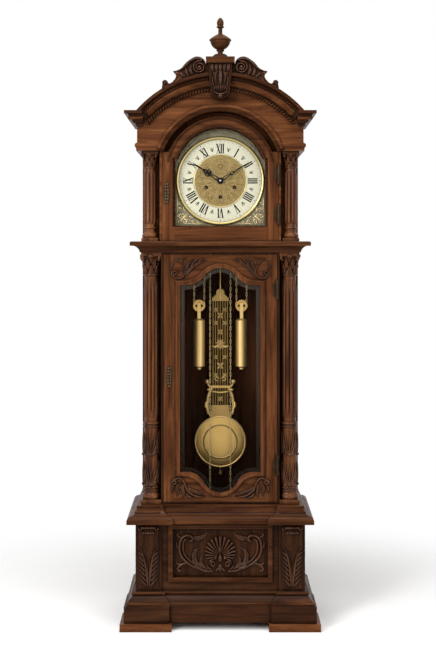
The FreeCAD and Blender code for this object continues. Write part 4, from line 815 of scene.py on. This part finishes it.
def dial_marks():
    """Numerals, marks of hours, minutes and quarters, fine rings and the dial's eyelets."""
    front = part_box("chapter_ring")[0].y
    ink = Carving()
    fine = {"across": 4, "sink": 0.2}
    for hour, text in enumerate(HOURS):
        ink.place = polar(front, 30 * hour)
        numeral(ink, text, 101, 35)
        ink.place = polar(front, 30 * hour + 15)
        ink.stroke([(0, 109), (0, 118), (0, 127)], 4.4, 0.35, leaf, 8, **fine)
        for flip in (1, -1):
            ink.place = polar(front, 30 * hour + 15, flip)
            ink.stroke([(0, 113), (4.6, 118), (5.4, 123), (2.6, 122)], 2.2, 0.35, even, 10, **fine)
            ink.stroke([(0, 112), (4.4, 111)], 2.0, 0.35, leaf, 6, **fine)
    dots = 144.5
    for minute in range(60):
        ink.place = polar(front, 6 * minute)
        size = 2.3 if minute % 5 == 0 else 1.4
        ink.prism([(-size, dots), (0, dots - size), (size, dots), (0, dots + size)], 0.3)
    for quarter in range(48):
        ink.place = polar(front, 7.5 * quarter)
        ink.prism([(-0.5, 95), (0.5, 95), (0.5, 98), (-0.5, 98)], 0.3)
    ink.place = flat(front, 0, DIAL_MIDDLE)
    ink.ring(0, 0, 98.6, 0.8, 0.3, 90)
    ink.ring(0, 0, 149.8, 0.9, 0.3, 90)
    ink.place = flat(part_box("dial_centre")[0].y, 0, DIAL_MIDDLE)
    for x, z in ((-52, -24), (52, -24), (0, -59)):
        ink.ring(x, z, 5.4, 4.4, 1.2, 24)
    ink.build("dial_marks", "black", "blued_steel", "case")


TENDRIL = (
    (even, spiral(10, 66, 1, 8, 200, 460, 12) + [(11, 80), (3, 88)], 2.4, 0.9, 30),
    (leaf, [(2, 26), (9, 40), (7, 54)], 5, 0.9, 12),
    (leaf, [(14, 84), (20, 76), (22, 66)], 4, 0.9, 10),
)


def dial_engraving():
    """A rosette above the hands' axis and a wreath of tendrils on the dial's centre."""
    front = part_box("dial_centre")[0].y
    lines = Carving(flat(front, 0, DIAL_MIDDLE))
    fine = {"across": 4, "sink": 0.3}
    rosette = 52
    lines.ring(0, rosette, 27, 1.6, 0.9, 48)
    lines.ring(0, rosette, 20, 1.2, 0.7)
    for k in range(8):
        side, up = compass(45 * k)
        lines.stroke([(far * side, rosette + far * up) for far in (3, 10, 17)], 6, 0.9, leaf, 8, **fine)
    for k in range(1, 9):
        for flip in (1, -1):
            lines.place = polar(front, 36 * k + 18, flip)
            lines.draw(TENDRIL, **fine)
    lines.build("dial_engraving", "engraved", "brass", "case")


CORNER_CAST = (
    (even, spiral(34, 14, 1, 9, 180, 460, 12) + [(40, 26), (26, 32), (10, 22)], 4, 2.2, 34),
    (even, spiral(58, 12, 1, 7, 0, -430, 12) + [(60, 22), (46, 24)], 3.2, 2.2, 30),
    (even, spiral(80, 10, 1, 6, 180, 430, 12) + [(92, 5), (104, 5)], 3, 2.0, 30),
    (leaf, [(40, 5), (60, 4), (84, 3), (114, 3)], 4, 2, 20, 7),
    (leaf, [(46, 32), (56, 28), (70, 26)], 6, 2, 12, 3),
    (leaf, [(4, 5), (16, 8), (24, 20)], 6, 2, 12, 3),
)
ARCH_CAST = (
    (even, spiral(132, 118, 1, 9, 0, 430, 12) + [(118, 128), (104, 142), (84, 154)], 4, 1.4, 34),
    (leaf, [(146, 96), (154, 112), (146, 130)], 8, 1.4, 14, 4),
    (leaf, [(96, 148), (76, 166), (50, 174)], 7, 1.4, 14, 4),
    (leaf, [(48, 173), (30, 182), (6, 184)], 6, 1.4, 14, 4),
)


def dial_filigree():
    """Cast scrolls in the corners of the dial, and fainter ones on the plate in the arch."""
    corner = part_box("spandrels")[0]
    work = Carving()
    for flip in (1, -1):
        upright = flat(corner.y, flip * corner.x, corner.z, flip)
        for place in (lambda u, v, h, turned=upright: turned(v, u, h), upright):
            work.place = place
            work.draw(CORNER_CAST, sink=0.4)
            for u, v in ((12, 30), (22, 40), (48, 18), (70, 18), (94, 10), (30, 5)):
                work.ball(u, v, 2.2, 0.6, sides=6)
        work.stroke([(10, 10), (24, 24), (44, 44)], 11, 2.8, leaf, 16, lobes=5, vein=0.4, sink=0.4)
    work.build("dial_filigree", "filigree", "brass", "case")

    arch = Carving()
    for flip in (1, -1):
        arch.place = flat(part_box("dial_plate")[0].y, 0, DIAL_MIDDLE, flip)
        arch.draw(ARCH_CAST, sink=0.3)
    arch.build("arch_filigree", "plate", "brass", "case")


def dial_trim():
    """Bright rings round the dial and its centre, and the boss and nut of the hands."""
    trim = Carving(flat(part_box("dial_bezel")[0].y, 0, DIAL_MIDDLE))
    trim.ring(0, 0, 157.5, 10, 2.4, 120)
    trim.place = flat(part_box("chapter_ring")[0].y, 0, DIAL_MIDDLE)
    trim.ring(0, 0, 95, 3.4, 1.0, 96)
    trim.build("dial_trim", "bezel", "brass", "case")
    hand = flat(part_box("minute_hand")[0].y, 0, DIAL_MIDDLE)
    hub = Carving(hand)
    hub.ring(0, 0, 8, 8, 1.6, 32)
    hub.build("hand_boss", "black", "blued_steel", "minute_hand")
    nut = Carving(hand)
    nut.ball(0, 0, 4.6, 0.4)
    nut.build("hand_nut", "steel", "steel", "minute_hand")


def floret(work, x, z, size):
    """Four petals in a cross about a small boss."""
    for k in range(4):
        side, up = compass(45 + 90 * k)
        points = [(x + far * size * side, z + far * size * up) for far in (0.15, 0.6, 1)]
        work.stroke(points, 0.62 * size, 4, leaf, 10, across=4, sink=0.5)
    work.ball(x, z, 0.3 * size, 2.5)


def pendulum():
    """Florets and a boss on the lattice, knobs and leaves on the lyre, rings on the bob."""
    low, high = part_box("pendulum_lattice")
    front = (low.y + high.y) / 2 - 0.0025
    work = Carving(flat(front))
    for z, size in ((1114, 15), (1052, 13), (924, 17)):
        floret(work, 0, z, size)
    for z in (1136, 1086, 957, 889):
        for x in (-17, 17):
            floret(work, x, z, 10)
    boss = 1006
    for turn in range(0, 360, 36):
        side, up = compass(turn)
        points = [(0, boss), (10 * side, boss + 12 * up), (20 * side, boss + 24 * up)]
        work.stroke(points, 8, 5, leaf, 12, sink=0.5)
    work.ball(0, boss, 7, 4)
    for flip in (-1, 1):
        work.place = flat(front, flip=flip)
        work.stroke([(6, 1000), (20, 996), (34, 1002)], 11, 4, leaf, 12, lobes=3, sink=0.5)
        work.stroke([(4, 874), (14, 882), (20, 872), (6, 866)], 5, 4, even, 16, sink=1)
    work.place = flat(low.y)
    work.stroke([(0, 1172), (0, 1186), (0, 1206)], 8, 1.5, leaf, 12, vein=0.4, sink=0.5)
    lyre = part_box("pendulum_lyre")[0].y
    for flip in (-1, 1):
        work.place = flat(lyre, flip=flip)
        work.ball(50, 865, 8.5, -2)
        work.stroke([(48, 860), (42, 848), (30, 846)], 7, 3, even, 14, sink=2)
        work.stroke([(38, 838), (45, 834), (50, 838)], 8, 3, leaf, 12, sink=1)
        work.stroke([(38, 832), (46, 812), (53, 788)], 11, 4, leaf, 14, lobes=3, sink=0.5)
        work.stroke([(53, 790), (54, 772), (44, 756)], 13, 4, leaf, 14, lobes=3, sink=0.5)
        work.ball(47, 752, 5.5, -1)
    work.stroke([(-33, 828), (0, 824), (33, 828)], 6, 3, even, 12, sink=1)
    floret(work, 0, 800, 12)
    work.place = drape("pendulum_bob")
    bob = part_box("pendulum_bob")
    centre = 500 * (bob[0].z + bob[1].z)
    work.ring(0, centre, 94, 6, 2.4, 72)
    work.ring(0, centre, 60, 3, 1.4, 64)
    work.build("pendulum_ornament", "lacquered", "brass", "pendulum")
    # Painted shade: a dark ring of engraved brass stands for the shaded groove on the bob.
    groove_shade = Carving(drape("pendulum_bob"))
    groove_shade.ring(0, centre, 63.5, 4, 0.6, 64)
    groove_shade.build("bob_groove", "engraved", "brass", "pendulum")


# Section of a half-round bead, up and out, in shares of its width and of its lift or depth.
BEAD = ((-0.5, -1), (-0.5, 0), (-0.3, 0.75), (0, 1), (0.3, 0.75), (0.5, 0), (0.5, -1))
BEAD_DEPTH = 1.5


def mitred(points, closed):
    """Each point of a path with the step of one to its left, mitred at the corners."""
    before = points[-1:] if closed else [2 * points[0] - points[1]]
    after = points[:1] if closed else [2 * points[-1] - points[-2]]
    out = []
    for last, here, coming in zip(before + points[:-1], points, points[1:] + after):
        one, two = (here - last).normalized(), (coming - here).normalized()
        lean = Vector((-one.y - two.y, one.x + two.x)).normalized()
        out.append((here, lean / max(0.5, lean.dot(Vector((-one.y, one.x))))))
    return out


def bead_along(work, plan, level, width, lift):
    """A half-round bead at one height along a plan of points."""
    rows = []
    for here, lean in mitred(plan, False):
        row = []
        for up, out in BEAD:
            spot = here - lean * (out * lift if out > 0 else out * BEAD_DEPTH) / 1000
            row.append((spot.x, spot.y, level + up * width))
        rows.append(row)
    work.place = lambda x, y, v: Vector((x, y, v / 1000))
    work.rows(rows)


def girdle(name, level, inner, width, lift):
    """A bead along the front and sides of a moulding, round the breaks of its corners."""
    skin = surface(name)
    z, back = level / 1000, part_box(name)[1].y

    def front(x):
        return skin.ray_cast(Vector((x, -1, z)), BACKWARD)[0].y

    half = skin.ray_cast(Vector((1, 0.05, z)), Vector((-1, 0, 0)))[0].x
    corner = front(half - 0.012)
    plan = [(half, back), (half, corner), (inner, corner), (inner, front(0.0))]
    work = Carving()
    plan = [Vector((-x, y)) for x, y in plan] + [Vector(p) for p in reversed(plan)]
    bead_along(work, plan, level, width, lift)
    work.build("%s_bead_%d" % (name, level), "bead", "wood", "case")


# Breaks of the base's mouldings; outer and inner side and front of the cornice's level ends.
CAP_BREAK, SKIRT_BREAK = 0.2195, 0.211
END_OUTER, END_INNER, END_FRONT = 0.3278, 0.2775, -0.174


def girdles():
    """Beads of the base's mouldings and of the cornice's ends."""
    girdle("base_cap_moulding", 419, CAP_BREAK, 6, 3.5)
    girdle("base_cap_moulding", 437, CAP_BREAK, 5, 2)
    girdle("skirt_moulding", 130, SKIRT_BREAK, 6, 3)
    girdle("skirt_moulding", 96, SKIRT_BREAK, 7, 3.5)
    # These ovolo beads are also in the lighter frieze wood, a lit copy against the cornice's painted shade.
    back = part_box("hood_cornice")[1].y
    work = Carving()
    plan = [Vector((END_OUTER, back)), Vector((END_OUTER, END_FRONT)), Vector((END_INNER, END_FRONT))]
    for side in ([Vector((-p.x, p.y)) for p in plan], plan[::-1]):
        bead_along(work, side, 1836, 12, 5)
    work.build("cornice_end_beads", "frieze", "wood", "case")


def lock_pearls():
    """Two rows of pearls down the lock plates."""
    count = 7
    for name, body in (("waist_escutcheon", "waist_door"), ("hood_escutcheon", "hood_door")):
        low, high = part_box(name)
        work = Carving(flat(low.y, (low.x + high.x) / 2))
        tall = 1000 * (high.z - low.z)
        for k in range(count):
            v = 1000 * low.z + tall * (k + 0.7) / (count + 0.4)
            bow = 2.2 + 2.4 * math.sin(math.pi * (k + 0.5) / count)
            for side in (-1, 1):
                work.ball(side * bow, v, 2.2, 0.4, sides=6)
        work.build(name + "_pearls", "plate", "brass", body)


def front_outline(name):
    """The longest outline of a flat part's front face: points of x and z in order."""
    work = bmesh.new()
    work.from_mesh(NODES[name].data)
    bmesh.ops.remove_doubles(work, verts=work.verts, dist=1e-6)
    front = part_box(name)[0].y
    follow = {}
    for edge in work.edges:
        faces = {f.normal.y < -0.9 and f.calc_center_median().y < front + 1e-5 for f in edge.link_faces}
        if len(faces) == 2:
            for one, two in (edge.verts, reversed(edge.verts)):
                follow.setdefault(one, []).append(two)
    loops = []
    while follow:
        here = next(iter(follow))
        points = []
        while here in follow:
            points.append(Vector((here.co.x, here.co.z)))
            ways = follow.pop(here)
            here = next((w for w in ways if w in follow), None)
        loops.append(points)
    work.free()
    return max(loops, key=lambda loop: sum((a - b).length for a, b in zip(loop, loop[1:])))


def edging(part, profile, name, mat, slot_name, smooth=True):
    """A strip round the outline of a part of the waist door; its profile runs inwards and out."""
    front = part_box(part)[0].y
    points = front_outline(part)
    area = sum(a.x * b.y - b.x * a.y for a, b in zip(points, points[1:] + points[:1]))
    inward = math.copysign(0.001, area)
    rows = []
    for here, lean in mitred(points, True):
        spots = [(here + lean * inward * far, lift) for far, lift in profile]
        rows.append([(spot.x, spot.y, lift) for spot, lift in spots])
    work = Carving(lambda x, z, h: Vector((x, front - h / 1000, z)))
    work.rows(rows, True)
    work.build(name, mat, slot_name, "waist_door", smooth)


def waist_edges():
    """The moulding round the waist glass, and the ground edge of the glass."""
    edging("waist_glass_moulding", ((1, -1), (1, 1), (3, 2.2), (5.5, 2.6), (8, 1.4), (10, 0.2), (14, -1)),
           "waist_glass_bead", "wood_z", "wood")
    edging("waist_door_glass", ((3, 0.2), (20, 1.6), (20, 0.2)), "waist_glass_bevel", "bevel", "glass", False)


LINK_LONG, LINK_WIDE, LINK_WIRE = 0.0165, 0.0068, 0.0021
LINK_BENDS, WIRE_SIDES = 12, 5


def links(path):
    """Links of bent wire along a path of points, every other one on edge."""
    work = Carving(lambda *spot: spot)
    lengths = [(b - a).length for a, b in zip(path, path[1:])]
    count = max(round(sum(lengths) / (LINK_LONG - 2 * LINK_WIRE)), 1)
    bend = (LINK_WIDE - LINK_WIRE) / 2
    straight = (LINK_LONG - LINK_WIRE) / 2 - bend
    rolls = [2 * math.pi * m / WIRE_SIDES for m in range(WIRE_SIDES)]
    for k in range(count):
        want, i = (k + 0.5) * sum(lengths) / count, 0
        while i < len(lengths) - 1 and want > lengths[i]:
            want -= lengths[i]
            i += 1
        along = (path[i + 1] - path[i]).normalized()
        middle = path[i] + along * want
        side = BACKWARD if k % 2 else along.cross(BACKWARD)
        depth = along.cross(side)
        rows = []
        for j in range(LINK_BENDS):
            turn = 2 * math.pi * (j + 0.5) / LINK_BENDS
            out = along * math.cos(turn) + side * math.sin(turn)
            spot = middle + out * bend + along * math.copysign(straight, math.cos(turn))
            rows.append([spot + (out * math.cos(r) + depth * math.sin(r)) * LINK_WIRE / 2 for r in rolls])
        work.rows(rows, True)
    return work


def arc(x, z, radius, start, end, count=12):
    """Points of an arc in the chains' plane, between two angles in degrees."""
    turns = [math.radians(start + (end - start) * i / count) for i in range(count + 1)]
    return [Vector((x + radius * math.cos(a), 0, z + radius * math.sin(a))) for a in turns]


def chains():
    """Link chains over the sprockets and pulleys in place of the plain ones."""
    hook, top, axle = 1.398, 1.492, 1.154
    for side, name in ((-1, "left"), (1, "right")):
        weight, joint = "weight_" + name, "weight_%s_drop" % name
        outer, lift, free = side * 0.098, side * 0.060, side * 0.038
        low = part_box("chain_" + name)[0].z
        runs = {"outer_fall": [Vector((outer, 0, hook)), Vector((outer, 0, axle))],
                "pulley_turn": arc(side * 0.079, axle, 0.019, 180, 360),
                "inner_fall": [Vector((lift, 0, axle)), Vector((lift, 0, top))],
                "sprocket_turn": arc(side * 0.049, top, 0.011, 0, 180),
                "free_end": [Vector((free, 0, top)), Vector((free, 0, low))]}
        for run, path in runs.items():
            obj = links(path).build("chain_%s_%s" % (name, run), "chain", "brass")
            if run == "outer_fall":
                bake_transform(obj)
                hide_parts("chain_" + name)
            elif run == "inner_fall":
                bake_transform(obj)
            elif run == "pulley_turn":
                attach(obj, weight)
            else:
                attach(obj, "case")
            if run == "free_end":
                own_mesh(obj)


# Hinge pins: depth, and for each door their side and the heights of their ends.
PIN_DEPTH = -0.13775
PIN_ENDS = ((0.20575, (0.5475, 0.6185, 1.1825, 1.2535)), (0.21075, (1.4545, 1.5255, 1.6005, 1.6715)))


def hinge_ends():
    """Small turned knobs on the hinge pins."""
    work = Carving()
    for x, ends in PIN_ENDS:
        for z in ends:
            work.place = flat(PIN_DEPTH, x, z)
            work.ball(0, 0, 4.6)
    work.build("hinge_knobs", "old_brass", "brass", "case")


base_panel()
consoles()
door_corners()
columns()
pediment()
beads()
dial_marks()
dial_engraving()
dial_filigree()
pendulum()
girdles()
dial_trim()
lock_pearls()
waist_edges()
chains()
hinge_ends()


def stage():
    """Pale floor that fades into white surroundings, and soft lamps."""
    mesh = bpy.data.meshes.new("floor")
    reach = 6.0
    corners = [(x * reach, y * reach, 0) for x, y in ((-1, -1), (1, -1), (1, 1), (-1, 1))]
    mesh.from_pydata(corners, [], [(0, 1, 2, 3)])
    floor = put("floor", mesh)
    mat, tree, shader = tree_of("pale_floor")
    feed(tree, shader, {"Base Color": (0.9, 0.9, 0.9, 1), "Roughness": 0.9, "Specular IOR Level": 0.0})
    place = node(tree, "TexCoord").outputs["Object"]
    away = node(tree, "VectorMath", {0: place}, operation="LENGTH").outputs["Value"]
    fade = node(tree, "MapRange", {"Value": away, "From Min": 0.7, "From Max": 1.7},
                interpolation_type="SMOOTHSTEP")
    clear = node(tree, "BsdfTransparent")
    both = node(tree, "MixShader", {0: fade.outputs["Result"], 1: shader.outputs[0], 2: clear.outputs[0]})
    tree.links.new(both.outputs[0], tree.nodes["Material Output"].inputs["Surface"])
    mesh.materials.append(mat)

    world = bpy.data.worlds.new("studio")
    bpy.context.scene.world = world
    world.use_nodes = True
    tree = world.node_tree
    rays = node(tree, "LightPath")
    seen = rays.outputs["Is Camera Ray"]
    for kind in ("Is Glossy Ray", "Is Transmission Ray"):
        seen = node(tree, "Math", {0: seen, 1: rays.outputs[kind]}, operation="MAXIMUM").outputs[0]
    plain = node(tree, "Background", {"Color": (1, 1, 1, 1), "Strength": 1.0})
    dim = node(tree, "Background", {"Color": (1.0, 0.99, 0.97, 1), "Strength": 0.45})
    both = node(tree, "MixShader", {0: seen, 1: dim.outputs[0], 2: plain.outputs[0]})
    tree.links.new(both.outputs[0], tree.nodes["World Output"].inputs["Surface"])

    lamps = (("key", (-2.2, -3.2, 2.6), (0.9, 2.2), 120), ("fill", (2.4, -3.0, 1.8), (1.2, 2.0), 30),
             ("top", (0.0, -1.0, 4.2), (2.4, 2.0), 110))
    for name, place, size, power in lamps:
        data = bpy.data.lights.new(name, "AREA")
        data.shape = "RECTANGLE"
        data.size, data.size_y = size
        data.energy = power
        lamp = put(name, data)
        lamp.location = place
        aim = Vector((0, 0, 1.0)) - lamp.location
        lamp.rotation_euler = aim.to_track_quat("-Z", "Y").to_euler()
    bpy.context.scene.view_settings.view_transform = "Standard"


stage()
